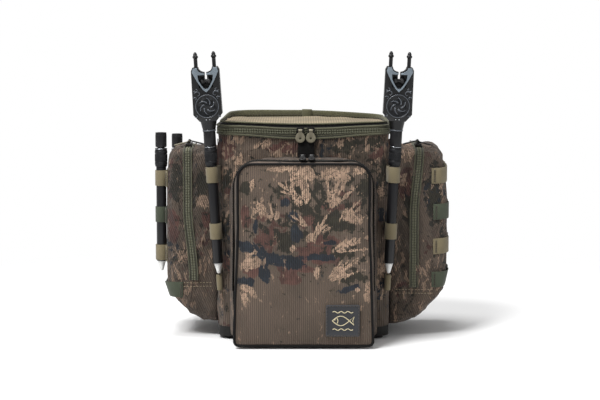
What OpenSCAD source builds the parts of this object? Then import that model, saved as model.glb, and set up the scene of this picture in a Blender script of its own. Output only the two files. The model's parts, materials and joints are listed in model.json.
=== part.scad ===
// Tackle backpack with a zipped lid, three zipped pockets and four carried banksticks.
// Frame: X to the wearer's right, Y from the front pocket to the shoulder straps, Z up.
// Origin: the middle of the base, on the ground.

/* [Main body] */
// Width of the main compartment
body_w = 270; // [250:5:300]
// Depth of the main compartment
body_d = 200; // [190:5:230]
// Height at which the walls end and the main zip starts
wall_top = 320; // [315:5:340]
// Thickness of the padded walls
wall = 4; // [3:0.5:5]
// Radius of the upright corners
corner_r = 22; // [18:1:28]
// Height of the underside of the moulded base
base_low = 5; // [4:1:8]
// Height of the top of the moulded base
base_top = 20; // [16:1:24]

/* [Lid] */
// Height of the meeting line of the main zip
zip_z = 331; // [331:1:351]
// Height of the lid's rim above the zip at the front
rim_front = 11; // [10:1:14]
// Height of the lid's rim above the zip at the rear
rim_rear = 20; // [16:1:22]
// Height of the rim that stands above the lid's top panel
rim_stand = 7; // [5:1:9]

/* [Front pocket] */
// Width of the front pocket where it joins the body
front_w_base = 232; // [210:1:236]
// Width of the front pocket's face
front_w_face = 214; // [190:1:216]
// Depth of the front pocket
front_depth = 85; // [60:1:100]
// Height of the underside of the front pocket
front_low = 4; // [3:1:10]
// Height of the top of the front pocket
front_top = 285; // [260:5:290]
// Radius of the front pocket's top corners
front_r = 20; // [12:1:26]
// Distance of the front pocket's zip from the body
front_zip = 28; // [20:1:36]
// Height of the seam that the front cover turns about
front_seam_z = 81; // [76:1:90]

/* [Side pockets] */
// Width of the left pocket
left_w = 78.5; // [76:0.5:96]
// Width of the right pocket
right_w = 92; // [80:1:96]
// Front edge of the side pockets
side_front = -75; // [-78:1:-60]
// Rear edge of the side pockets
side_rear = 84; // [75:1:88]
// Height of the underside of the side pockets
side_low = 18; // [16:1:30]
// Height of the top of the side pockets
side_top = 300; // [290:1:306]
// Radius of the side pockets' outer bottom edge
side_r_low = 84; // [60:1:86]
// Radius of the side pockets' outer top edge
side_r_top = 20; // [12:1:26]
// Distance of the side pockets' zips from the body
side_zip = 47; // [44:1:52]
// Height of the seam that the left cover turns about
left_seam_z = 90; // [88:1:96]
// Height of the seam that the right cover turns about
right_seam_z = 79; // [70:1:79]
// Thickness of the pocket fabric with its lining
skin = 3; // [2:0.5:4]

/* [Webbing] */
// Width of the webbing and elastic loops
web_w = 25; // [20:1:26]
// Thickness of the webbing
web_t = 1.8; // [1.5:0.1:2]

/* [Banksticks] */
// Diameter of a bankstick's outer tube
stick_d = 16; // [15:0.5:16]
// Diameter of the inner rod that slides out of the tube
rod_d = 12; // [11:0.5:12.5]
// Diameter of the twist collar that locks the rod
collar_d = 20; // [19.5:0.5:21]
// Outward lean of the left front stick, in degrees
left_lean = 3.5; // [0:0.1:4]
// Outward lean of the right front stick, in degrees
right_lean = 2.8; // [0:0.1:4]
// Radius of the threaded hole in each stick's head, as modelled
head_bore_r = 4.76; // [4.7:0.01:4.8]

/* [Hidden] */
$fn = 48;
gap = 0.3;
big = 600;
brown = [0.36, 0.32, 0.28];
olive = [0.37, 0.37, 0.28];
tan_web = [0.49, 0.47, 0.35];
green_web = [0.27, 0.31, 0.24];
black = [0.07, 0.07, 0.08];
lid_tan = [0.59, 0.53, 0.43];
tab_grey = [0.65, 0.63, 0.55];
plate_grey = [0.47, 0.50, 0.52];
slate = [0.27, 0.27, 0.28];
tape_t = 2.5;
rim_low = zip_z + 5;
side_gap = 1;
side_x0 = body_w / 2 + side_gap;
front_y = -body_d / 2;
rear_y = body_d / 2;
face_y = front_y - front_depth;
zip_y = front_y - front_zip;
lid_slope = atan((rim_rear - rim_front) / body_d);
badge_w = 52;
badge_h = 49;
badge_x = 60;
badge_z = 45;
foot_r = 13;
left_row_z = [251, 193, 132];
left_low_row_z = 76;
right_row_z = [257, 200, 145, 92];
loop_z = [262, 173.5, 91.5];

// Stick axes: the foot of each axis, its height, and the lean to the side.
front_stick_x = body_w / 2 - 1;
front_stick_y = front_y - 9;
front_foot_z = 121;
front_tube_l = 156;
side_foot_z = 116;
// Length of a stick's ground point.
point_l = 16;
side_tube_l = 153;
side_b_drop = 12.4;
side_b_loop_drop = 14;
collar_l = 28;
front_waist = 2;
side_waist = 3;
head_l = 23;
front_head_d = 19;
side_head_d = 17.5;
head_bore_l = 16;
loop_wall = 1.4;
loop_r = stick_d / 2 + 0.5;
left_face_x = -(side_x0 + left_w);
side_a_x = left_face_x - gap - web_t - loop_r - loop_wall - gap;
side_a_y = -45;
side_b_x = left_face_x + 4.5;
side_b_y = side_rear + loop_r + loop_wall + gap;
stud_r = 4.7;
stud_l = 12;
tube_bore_r = rod_d / 2 + 0.1;

// A block with rounded upright edges.
module rounded_block(w, d, h, r) {
    translate([-w / 2 + r, -d / 2, 0]) cube([w - 2 * r, d, h]);
    translate([-w / 2, -d / 2 + r, 0]) cube([w, d - 2 * r, h]);
    for (x = [-1, 1], y = [-1, 1])
        translate([x * (w / 2 - r), y * (d / 2 - r), 0]) cylinder(r = r, h = h);
}

// The body's outline as a block, inset by a stated amount.
module body_block(inset, h) {
    rounded_block(body_w - 2 * inset, body_d - 2 * inset, h, corner_r - inset);
}

// A ring of a stated thickness that follows the body's outline.
module body_ring(z0, z1, t) {
    translate([0, 0, z0]) difference() {
        body_block(0, z1 - z0);
        translate([0, 0, -1]) body_block(t, z1 - z0 + 2);
    }
}

module moulded_base() {
    plate_t = 3;
    color(black) {
        translate([0, 0, base_low]) difference() {
            body_block(0, base_top - base_low);
            translate([0, 0, plate_t])
                body_block(plate_t, base_top);
        }
        for (x = [-1, 1], y = [-1, 1])
            translate([x * (body_w / 2 - corner_r), y * (body_d / 2 - corner_r), 0])
                cylinder(r = foot_r, h = base_low + 1);
        cylinder(r = 2 * foot_r, h = base_low + 1);
    }
}

// The wall tube, cut into panels at upright seams beside the corners.
module wall_tube() {
    body_ring(base_top + gap, wall_top, wall);
}

module front_panel() {
    color(brown) intersection() {
        wall_tube();
        translate([-big / 2, -big, 0]) cube([big, big - body_d / 2 + corner_r - gap / 2, big]);
    }
}

module side_panels() {
    color(brown) intersection() {
        wall_tube();
        translate([-big / 2, -body_d / 2 + corner_r + gap / 2, 0])
            cube([big, body_d - 2 * corner_r - gap, big]);
    }
}

module rear_panel() {
    color(brown) intersection() {
        wall_tube();
        translate([-big / 2, body_d / 2 - corner_r + gap / 2, 0]) cube([big, big, big]);
    }
}

module lower_zip_tape() {
    color(olive) body_ring(wall_top + gap, zip_z - gap, tape_t);
}

module upper_zip_tape() {
    color(olive) body_ring(zip_z + gap, rim_low - gap, tape_t);
}

// Everything below a plane that rises from a front height to the rear with the lid's slope.
module below_slope(front_z) {
    translate([0, front_y, front_z]) rotate([lid_slope, 0, 0])
        translate([-big / 2, -50, -big]) cube([big, big, big]);
}

module lid_rim() {
    color(olive) intersection() {
        body_ring(rim_low, zip_z + rim_rear + 1, wall);
        below_slope(zip_z + rim_front);
    }
}

module lid_panel() {
    color(lid_tan) intersection() {
        translate([0, 0, zip_z + gap]) body_block(wall + gap, rim_rear);
        below_slope(zip_z + rim_front - rim_stand);
    }
}

// Outline of the front pocket seen from the front, with rounded top corners.
module front_outline(w, inset) {
    r = front_r - inset;
    low = front_low + inset;
    high = front_top - inset;
    half = w / 2 - inset;
    translate([-half, low]) square([2 * half, high - low - r]);
    translate([-half + r, low]) square([2 * (half - r), high - low]);
    for (x = [-1, 1]) translate([x * (half - r), high - r]) circle(r = r, $fn = 32);
}

// The front pocket's solid: wide at the body and narrower at its face.
module front_solid(inset) {
    slab = 0.1;
    edge = 4;
    hull() {
        translate([0, front_y - gap - inset, 0]) rotate([90, 0, 0])
            linear_extrude(slab) front_outline(front_w_base, inset);
        translate([0, face_y + inset + edge, 0]) rotate([90, 0, 0])
            linear_extrude(slab) front_outline(front_w_face, inset);
        translate([0, face_y + inset + slab, 0]) rotate([90, 0, 0])
            linear_extrude(slab) front_outline(front_w_face, inset + edge);
    }
}

module front_shell() {
    difference() {
        front_solid(0);
        front_solid(skin);
    }
}

// The part of the front pocket that opens: above the seam and in front of the zip.
module front_cover_zone(clear) {
    translate([-big / 2, zip_y - big - clear, front_seam_z + clear]) cube([big, big, big]);
}

module front_pocket_tray() {
    color(brown) difference() {
        front_shell();
        front_cover_zone(-gap);
    }
}

module front_pocket_cover() {
    color(brown) intersection() {
        front_shell();
        front_cover_zone(0);
    }
}

module badge() {
    color(slate) translate([badge_x - badge_w / 2, face_y - 1.6, badge_z - badge_h / 2])
        cube([badge_w, 1.3, badge_h]);
}

// Outline of a right-hand side pocket seen from the front; the body is at x = 0.
module side_outline(w, inset) {
    h = side_top - side_low - 2 * inset;
    rl = min(side_r_low, w) - inset;
    rt = side_r_top - inset;
    translate([inset, side_low + inset]) difference() {
        square([w - 2 * inset, h]);
        translate([w - 2 * inset - rl, -1]) difference() {
            square([rl + 1, rl + 1]);
            translate([0, rl + 1]) circle(r = rl);
        }
        translate([w - 2 * inset - rt, h - rt]) difference() {
            square([rt + 1, rt + 1]);
            circle(r = rt);
        }
    }
}

module side_solid(w, inset) {
    translate([side_x0, side_rear - inset, 0]) rotate([90, 0, 0])
        linear_extrude(side_rear - side_front - 2 * inset, $fn = 96) side_outline(w, inset);
}

module side_shell(w) {
    difference() {
        side_solid(w, 0);
        side_solid(w, skin);
    }
}

// The part of a side pocket that opens: above the seam and outside the zip.
module side_cover_zone(seam, clear) {
    translate([side_x0 + side_zip + clear, -big / 2, seam + clear]) cube([big, big, big]);
}

module side_tray(w, seam) {
    difference() {
        side_shell(w);
        side_cover_zone(seam, -gap);
    }
}

module side_cover(w, seam) {
    intersection() {
        side_shell(w);
        side_cover_zone(seam, 0);
    }
}

module left_pocket_tray() { color(brown) mirror([1, 0, 0]) side_tray(left_w, left_seam_z); }
module right_pocket_tray() { color(brown) side_tray(right_w, right_seam_z); }
module left_pocket_cover() { color(brown) mirror([1, 0, 0]) side_cover(left_w, left_seam_z); }
module right_pocket_cover() { color(brown) side_cover(right_w, right_seam_z); }

// Rows of webbing along a pocket's outer face, one above the other.
module webbing_rows(w, heights) {
    inset_y = 6;
    for (z = heights)
        translate([side_x0 + w + gap, side_front + inset_y, z - web_w / 2])
            cube([web_t, side_rear - side_front - 2 * inset_y, web_w]);
}

module left_pocket_webbing() { color(green_web) mirror([1, 0, 0]) webbing_rows(left_w, left_row_z); }
module right_pocket_webbing() { color(tan_web) webbing_rows(right_w, right_row_z); }

// One elastic loop around a stick at the origin, with a flat tail to the fabric at +X.
module stick_loop(tail) {
    translate([0, 0, -web_w / 2]) {
        difference() {
            union() {
                cylinder(r = loop_r + loop_wall, h = web_w);
                translate([0, -loop_wall, 0]) cube([loop_r + tail, 2 * loop_wall, web_w]);
            }
            translate([0, 0, -1]) cylinder(r = loop_r, h = web_w + 2);
        }
    }
}

// The outward lean of a front stick on a stated side.
function lean(side) = side > 0 ? right_lean : left_lean;

// Moves a child from an upright axis at the origin to a front stick's leaning axis.
module at_front_stick(side) {
    translate([side * front_stick_x, front_stick_y, front_foot_z])
        rotate([0, side * lean(side), 0]) children();
}

// Loops fixed to the pack: three at each front corner, and the left pocket's lowest webbing row.
module pack_loops() {
    color(tan_web) {
        for (side = [-1, 1], z = loop_z)
            at_front_stick(side) translate([0, 0, (z - front_foot_z) / cos(lean(side))])
                rotate([0, 0, side > 0 ? 135 : 45]) stick_loop(loop_tail(z, lean(side)));
        mirror([1, 0, 0]) webbing_rows(left_w, [left_low_row_z]);
    }
}

// Length of a loop's tail: from its ring to just short of the body's rounded corner.
function loop_tail(z, tilt) =
    let (dx = front_stick_x + (z - front_foot_z) * tan(tilt) - (body_w / 2 - corner_r),
         dy = corner_r + front_y - front_stick_y,
         along = (dx + dy) / sqrt(2),
         across = (dx - dy) / sqrt(2) )
    along - sqrt(corner_r * corner_r - pow(abs(across) + loop_wall, 2)) - loop_r - 2;

module side_stick_loops() {
    color(tan_web) {
        for (z = left_row_z) translate([side_a_x, side_a_y, z]) stick_loop(0);
        for (z = [left_row_z[0], left_row_z[2]])
            translate([side_b_x, side_b_y, z - side_b_loop_drop]) rotate([0, 0, -90]) stick_loop(0);
    }
}

module back_pad() {
    pad_t = 14;
    color(black) translate([0, rear_y + gap + pad_t / 2, 68])
        rounded_block(190, pad_t, 142, 5);
}

// Side view of a shoulder strap: a bow that stands away from the back.
strap_top_z = 292;
strap_low_z = 96;
strap_steps = 20;
strap_bow = 30;
function strap_point(u, out) =
    [rear_y + 16 + strap_bow * sin(180 * pow(u, 0.8)) + out,
     strap_top_z + (strap_low_z - strap_top_z) * u];

module shoulder_straps() {
    strap_w = 58;
    strap_x = 72;
    strap_t = 12;
    color(black) for (side = [-1, 1])
        translate([side * strap_x - strap_w / 2, 0, 0])
            rotate([90, 0, 90]) linear_extrude(strap_w) union() {
                polygon(concat(
                    [for (i = [0:strap_steps]) strap_point(i / strap_steps, 0)],
                    [for (i = [strap_steps:-1:0]) strap_point(i / strap_steps, strap_t)]
                ));
                translate([rear_y + gap, strap_top_z - 24]) square([18, 24]);
            }
}

buckle_z = 70;
buckle_h = 22;
module ladder_locks() {
    color(black) for (side = [-1, 1])
        translate([side * 72 - 17, rear_y + 18, buckle_z]) difference() {
            cube([34, 5, buckle_h]);
            for (z = [4, 13]) translate([4, -1, z]) cube([26, 7, 4]);
        }
}

// Lower straps: from each ladder lock down to the corner of the base.
module strap_webbing() {
    color(black) for (side = [-1, 1])
        translate([side * 72 - web_w / 2, 0, 0]) rotate([90, 0, 90]) linear_extrude(web_w)
            polygon([
                [rear_y + gap, 28], [rear_y + gap, 40], [rear_y + 20, 68],
                [rear_y + 22, 68], [rear_y + gap + 2, 38], [rear_y + gap + 2, 28]
            ]);
}

handle_z = 262;
handle_y = rear_y + 5;
module haul_handle() {
    half = 34;
    drop = 40;
    color(black) translate([0, handle_y, handle_z]) {
        for (side = [-1, 1]) translate([side * half - 6, -1.5, -drop]) cube([12, 3, drop + 2]);
        translate([-half + 6, 0, -drop + 4]) rotate([0, 90, 0]) cylinder(r = 4, h = 2 * half - 12);
    }
}

// One telescopic stick on an upright axis: tube with its ground point, twist collar, and sliding rod with its head.
module stick_tube(l) {
    color(black) difference() {
        union() {
            translate([0, 0, 2]) cylinder(d = stick_d, h = l - 2);
            translate([0, 0, 2 - point_l]) cylinder(r1 = 1, r2 = stick_d / 2 - 1, h = point_l + 1);
        }
        translate([0, 0, 6]) cylinder(r = tube_bore_r, h = l);
    }
}

module stick_collar(l) {
    color(black) translate([0, 0, l + gap]) difference() {
        union() {
            cylinder(d = collar_d - 1, h = collar_l - 0.5);
            translate([0, 0, 3]) cylinder(d = collar_d, h = 4);
            translate([0, 0, collar_l - 7]) cylinder(d = collar_d, h = 4);
        }
        translate([0, 0, -1]) cylinder(r = tube_bore_r, h = collar_l + 2);
    }
}

module stick_rod(l, waist, d) {
    rod_foot = 12;
    head_z = l + gap + collar_l + waist;
    color(black) difference() {
        union() {
            translate([0, 0, rod_foot]) cylinder(d = rod_d, h = head_z + 4 - rod_foot);
            translate([0, 0, head_z]) cylinder(d = d, h = head_l);
        }
        translate([0, 0, head_z + head_l - head_bore_l]) cylinder(r = head_bore_r, h = head_bore_l + 1);
    }
}

front_head_top = front_tube_l + gap + collar_l + front_waist + head_l;

module left_stick_tube() { at_front_stick(-1) stick_tube(front_tube_l); }
module left_stick_collar() { at_front_stick(-1) stick_collar(front_tube_l); }
module left_stick_rod() { at_front_stick(-1) stick_rod(front_tube_l, front_waist, front_head_d); }
module right_stick_tube() { at_front_stick(1) stick_tube(front_tube_l); }
module right_stick_collar() { at_front_stick(1) stick_collar(front_tube_l); }
module right_stick_rod() { at_front_stick(1) stick_rod(front_tube_l, front_waist, front_head_d); }

module at_side_a() { translate([side_a_x, side_a_y, side_foot_z]) children(); }
module at_side_b() { translate([side_b_x, side_b_y, side_foot_z - side_b_drop]) children(); }
module side_stick_a_tube() { at_side_a() stick_tube(side_tube_l); }
module side_stick_a_collar() { at_side_a() stick_collar(side_tube_l); }
module side_stick_a_rod() { at_side_a() stick_rod(side_tube_l, side_waist, side_head_d); }
module side_stick_b_tube() { at_side_b() stick_tube(side_tube_l); }
module side_stick_b_collar() { at_side_b() stick_collar(side_tube_l); }
module side_stick_b_rod() { at_side_b() stick_rod(side_tube_l, side_waist, side_head_d); }

// Bite alarm on an upright axis; z = 0 is the bottom of its neck.
neck_l = 16;
head_h = 84;
case_t = 26;
ear_x = 14.2;
speaker_z = neck_l + 24;
speaker_r = 18.6;
roller_z = neck_l + 62;
roller_r = 6;
axle_r = 1.5;

module case_outline() {
    polygon([
        [-13, 0], [-22.4, 11], [-21.8, 79], [-19.3, head_h], [-11, head_h],
        for (a = [15:15:165]) [-11 * cos(a), head_h - 8.2 * sin(a)],
        [11, head_h], [19.3, head_h], [21.8, 79], [22.4, 11], [13, 0]
    ]);
}

// Slot that the line drops through, from the notch down to the roller.
module line_slot() {
    translate([-1.7, -case_t, roller_z]) cube([3.4, 2 * case_t, 40]);
}

module roller_cavity() {
    translate([-11, -case_t / 2 - 1, roller_z - 9.5]) cube([22, 18, 19.5]);
    line_slot();
}

module alarm_case() {
    color(black) difference() {
        union() {
            translate([0, case_t / 2, neck_l]) rotate([90, 0, 0]) linear_extrude(case_t) case_outline();
            cylinder(r1 = 9.5, r2 = 13, h = neck_l + 1);
            cylinder(r = 10.2, h = 2.5);
            translate([0, 0, -stud_l]) cylinder(r = stud_r, h = stud_l + 1);
            for (side = [-1, 1]) translate([side * ear_x, 0, neck_l + head_h - 1]) {
                cylinder(r = 3, h = 15);
                translate([0, 0, 14.5]) cylinder(r1 = 3, r2 = 4.3, h = 1.5);
                translate([0, 0, 16]) cylinder(r = 4.3, h = 2);
                translate([0, 0, 18]) cylinder(r1 = 4.3, r2 = 2.6, h = 1.8);
                translate([0, 0, 19.5]) cylinder(r = 3.1, h = 2);
                translate([0, 0, 21.5]) cylinder(r1 = 3.1, r2 = 1.2, h = 3);
            }
        }
        roller_cavity();
        translate([-14, -3, roller_z]) rotate([0, 90, 0]) cylinder(r = axle_r + 0.1, h = 28);
    }
}

// Shield outline of the faceplate, from its shoulders down to a point.
module shield_outline() {
    polygon([
        [-20.4, 77], [-18.6, 83], [-12.3, 83],
        for (a = [15:15:165]) [-12.3 * cos(a), 83 - 8.6 * sin(a)],
        [12.3, 83], [18.6, 83], [20.4, 77],
        for (t = [0.1:0.15:0.9]) [20.4 * pow(1 - t, 0.72), 77 - 32 * t],
        [0, 45],
        for (t = [0.85:-0.15:0.1]) [-20.4 * pow(1 - t, 0.72), 77 - 32 * t]
    ]);
}

module alarm_faceplate() {
    color(plate_grey) difference() {
        translate([0, -case_t / 2 - gap, neck_l]) rotate([90, 0, 0]) linear_extrude(1.6) difference() {
            shield_outline();
            polygon([
                [-12, 72.3], [-11, 64], [-6.5, 56], [-2.5, 50.5],
                [2.5, 50.5], [6.5, 56], [11, 64], [12, 72.3]
            ]);
        }
        line_slot();
    }
}

module alarm_speaker() {
    color(black) translate([0, -case_t / 2 - gap, speaker_z]) rotate([90, 0, 0]) {
        difference() {
            cylinder(r = speaker_r, h = 2.6);
            translate([0, 0, 1.4]) cylinder(r = speaker_r - 2, h = 3);
            for (a = [0:45:315]) rotate([0, 0, a]) translate([11, 0, -1]) cylinder(r = 1.6, h = 4);
        }
        cylinder(r = 5, h = 2.2);
    }
}

module alarm_roller() {
    color(black) translate([0, -3, roller_z]) rotate([0, 90, 0]) {
        translate([0, 0, -13.5]) cylinder(r = axle_r, h = 27);
        for (z = [-7.5, 3.5]) translate([0, 0, z]) cylinder(r = roller_r, h = 4);
        translate([0, 0, -4]) cylinder(r = roller_r - 2.5, h = 8);
    }
}

module at_alarm(side) {
    at_front_stick(side) translate([0, 0, front_head_top + gap]) children();
}

module left_alarm_case() { at_alarm(-1) alarm_case(); }
module left_alarm_faceplate() { at_alarm(-1) alarm_faceplate(); }
module left_alarm_speaker() { at_alarm(-1) alarm_speaker(); }
module left_alarm_roller() { at_alarm(-1) alarm_roller(); }
module right_alarm_case() { at_alarm(1) alarm_case(); }
module right_alarm_faceplate() { at_alarm(1) alarm_faceplate(); }
module right_alarm_speaker() { at_alarm(1) alarm_speaker(); }
module right_alarm_roller() { at_alarm(1) alarm_roller(); }

// Zip slider: it travels along X and faces -Y; a bar in front of it carries the pull tab.
bar_y = -8;
bar_r = 1.1;
module slider() {
    color(black) {
        translate([-5.5, -5, -5]) cube([11, 4.4, 10]);
        for (x = [-4.6, 3.4]) translate([x, bar_y - 1.6, -1.6]) cube([1.2, 5, 3.2]);
        translate([-4.6, bar_y, 0]) rotate([0, 90, 0]) cylinder(r = bar_r, h = 9.2);
    }
}

// Pull tab: it hangs from the slider's bar, leans in by its droop and widens to a rounded end.
module pull_tab(l, w, droop = 0) {
    translate([0, bar_y, 0]) rotate([droop, 0, 0]) difference() {
        union() {
            rotate([0, 90, 0]) translate([0, 0, -2.9]) cylinder(r = 2.2, h = 5.8);
            translate([-2.9, -0.9, -6]) cube([5.8, 1.8, 6]);
            translate([0, 0.9, 0]) rotate([90, 0, 0]) linear_extrude(1.8) {
                translate([0, -l + w / 2]) circle(d = w);
                polygon([
                    [-2.9, -3], [2.9, -3], [w / 2 - 2, -5.5], [w / 2 - 0.3, -l + w / 2 + 1],
                    [-w / 2 + 0.3, -l + w / 2 + 1], [-w / 2 + 2, -5.5]
                ]);
            }
        }
        translate([-10, 0, 0]) rotate([0, 90, 0]) cylinder(r = bar_r + 0.1, h = 20);
        translate([0, 5, -l + w * 0.45]) rotate([90, 0, 0]) cylinder(r = w / 9, h = 10);
    }
}

// Places for sliders on the lid's zip, on the front pocket's top and on a side pocket's top.
main_slider_x = 8.3;
main_slider_mid = 3;
front_slider_x = 7;
front_slider_mid = 5.5;
side_slider_y = [-40, -16];
tab_droop = 14;
module at_main(side) {
    translate([main_slider_mid + side * main_slider_x, front_y - gap, zip_z]) children();
}
module at_front(side) {
    translate([front_slider_mid + side * front_slider_x, zip_y, front_top + gap])
        rotate([-90, 0, 0]) children();
}

// A side pocket's slider 0 has its tab lying outwards, and slider 1 has it lying inwards.
module at_side(side, which) {
    translate([side * (side_x0 + side_zip), side_slider_y[which], side_top + gap])
        rotate([-90, 0, side * (which == 0 ? 90 : -90)]) children();
}

module main_tab() { pull_tab(19, 15); }
module front_tab() { pull_tab(20, 11, tab_droop); }
module side_tab() { pull_tab(24, 11, tab_droop); }

module main_slider_a() { at_main(-1) slider(); }
module main_slider_b() { at_main(1) slider(); }
module main_tab_a() { color(tab_grey) at_main(-1) main_tab(); }
module main_tab_b() { color(tab_grey) at_main(1) main_tab(); }
module front_slider_a() { at_front(-1) slider(); }
module front_slider_b() { at_front(1) slider(); }
module front_tab_a() { color(black) at_front(-1) front_tab(); }
module front_tab_b() { color(black) at_front(1) front_tab(); }
module left_slider_a() { at_side(-1, 0) slider(); }
module left_slider_b() { at_side(-1, 1) slider(); }
module left_tab_a() { color(tab_grey) at_side(-1, 0) side_tab(); }
module left_tab_b() { color(black) at_side(-1, 1) side_tab(); }
module right_slider_a() { at_side(1, 0) slider(); }
module right_slider_b() { at_side(1, 1) slider(); }
module right_tab_a() { color(black) at_side(1, 0) side_tab(); }
module right_tab_b() { color(black) at_side(1, 1) side_tab(); }

moulded_base();
front_panel();
side_panels();
rear_panel();
lower_zip_tape();
front_pocket_tray();
badge();
left_pocket_tray();
right_pocket_tray();
pack_loops();
back_pad();
shoulder_straps();
strap_webbing();
ladder_locks();
haul_handle();
lid_panel();
lid_rim();
upper_zip_tape();
front_pocket_cover();
left_pocket_cover();
right_pocket_cover();
left_pocket_webbing();
right_pocket_webbing();
side_stick_loops();
left_stick_tube();
left_stick_collar();
left_stick_rod();
right_stick_tube();
right_stick_collar();
right_stick_rod();
side_stick_a_tube();
side_stick_a_collar();
side_stick_a_rod();
side_stick_b_tube();
side_stick_b_collar();
side_stick_b_rod();
left_alarm_case();
left_alarm_faceplate();
left_alarm_speaker();
left_alarm_roller();
right_alarm_case();
right_alarm_faceplate();
right_alarm_speaker();
right_alarm_roller();
main_slider_a();
main_slider_b();
main_tab_a();
main_tab_b();
front_slider_a();
front_slider_b();
front_tab_a();
front_tab_b();
left_slider_a();
left_slider_b();
left_tab_a();
left_tab_b();
right_slider_a();
right_slider_b();
right_tab_a();
right_tab_b();
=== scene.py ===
"""The look of the tackle backpack: cloth shells, zips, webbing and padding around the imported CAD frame, with
materials, light and camera. Lengths are in metres; the front of the bag faces -Y and +X is to the right."""

import json
import math

import bmesh
import bpy
from mathutils import Matrix, Vector, noise


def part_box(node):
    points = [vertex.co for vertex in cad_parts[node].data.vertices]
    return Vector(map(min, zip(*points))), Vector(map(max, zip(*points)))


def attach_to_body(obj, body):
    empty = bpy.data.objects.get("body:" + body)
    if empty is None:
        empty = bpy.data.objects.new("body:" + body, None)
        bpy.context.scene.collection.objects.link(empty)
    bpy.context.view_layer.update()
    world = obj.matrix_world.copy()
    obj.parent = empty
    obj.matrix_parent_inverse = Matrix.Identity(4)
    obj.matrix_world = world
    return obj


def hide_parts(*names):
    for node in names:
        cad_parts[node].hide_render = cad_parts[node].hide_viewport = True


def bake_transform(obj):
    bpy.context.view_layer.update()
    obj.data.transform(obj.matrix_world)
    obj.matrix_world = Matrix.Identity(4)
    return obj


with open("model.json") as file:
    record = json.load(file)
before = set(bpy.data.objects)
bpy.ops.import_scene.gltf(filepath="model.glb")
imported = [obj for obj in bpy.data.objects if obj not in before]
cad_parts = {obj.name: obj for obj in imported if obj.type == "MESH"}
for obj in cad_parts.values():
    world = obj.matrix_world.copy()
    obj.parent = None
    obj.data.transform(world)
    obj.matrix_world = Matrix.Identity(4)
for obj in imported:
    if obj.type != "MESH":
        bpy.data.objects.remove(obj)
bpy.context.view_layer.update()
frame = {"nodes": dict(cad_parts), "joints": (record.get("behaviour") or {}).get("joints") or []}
MM = 0.001


# ---------------------------------------------------------------- places taken from the frame

def union_box(*nodes):
    """The box round several CAD nodes, as its low and high corners."""
    boxes = [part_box(n) for n in nodes]
    lo = Vector([min(b[0][i] for b in boxes) for i in range(3)])
    hi = Vector([max(b[1][i] for b in boxes) for i in range(3)])
    return lo, hi


def joint(name):
    """The frame's record of a joint."""
    return next(j for j in frame["joints"] if j["name"] == name)


BODY_LO, BODY_HI = union_box("front_panel", "side_panels", "rear_panel")
FRONT_LO, FRONT_HI = union_box("front_pocket_tray", "front_pocket_cover")
ZIP_Z = joint("lid_hinge")["pos_m"][2]
FRONT_ZIP_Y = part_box("front_pocket_cover")[1].y
FRONT_SEAM = Vector(joint("front_cover_hinge")["pos_m"])
CORNER_R = 22 * MM    # radius of the body's upright corners, seen from above
WEB_W = 25 * MM       # width of all webbing and elastic
POINT_L = 16 * MM     # length of a stick's ground point
STRAP_X = 72 * MM     # distance of each shoulder strap from the middle
STRAP_W = 58 * MM
TEETH_OFF = 1.75 * MM  # distance of a row of zip teeth from the meeting line


# ---------------------------------------------------------------- numbers and lines

UP = Vector((0, 0, 1))
RIGHT = Vector((1, 0, 0))
FORWARD = Vector((0, -1, 0))


def clamp(value):
    """The value, kept between 0 and 1."""
    return max(0.0, min(1.0, value))


def ease(t):
    """An S-shaped rise from 0 to 1."""
    return t * t * (3 - 2 * t)


def fall(t):
    """How far a quarter circle has dropped at a share of its radius: 0 at 0, 1 at 1."""
    return 1 - math.sqrt(max(0.0, 1 - t * t))


def shrinking(steps, first=0):
    """Shares from 1 down to 0.03, for rings that close a face."""
    return [1 - 0.97 * k / steps for k in range(first, steps + 1)]


def run_lengths(points):
    """The distance along a line of points at each of them."""
    lengths = [0.0]
    for a, b in zip(points, points[1:]):
        lengths.append(lengths[-1] + (b - a).length)
    return lengths


def tangents(line):
    """The direction of a line of points at each of them."""
    last = len(line) - 1
    return [(line[min(last, i + 1)] - line[max(0, i - 1)]).normalized() for i in range(last + 1)]


def ribbon(line, normal):
    """Frames along a line of points that lies flat across a normal."""
    return [(p, normal, t.cross(normal).normalized()) for p, t in zip(line, tangents(line))]


def circle(centre, u, v, axis, radius, count):
    """Frames round a circle in the plane of u and v, facing out of it."""
    frames = []
    for k in range(count):
        a = 2 * math.pi * k / count
        out = u * math.cos(a) + v * math.sin(a)
        frames.append((centre + out * radius, out, axis))
    return frames


def stick_circle(centre, axis, radius, count):
    """Frames round a stick."""
    back = -FORWARD
    return circle(centre, back, axis.cross(back).normalized(), axis, radius, count)


# ---------------------------------------------------------------- material building blocks

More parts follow.
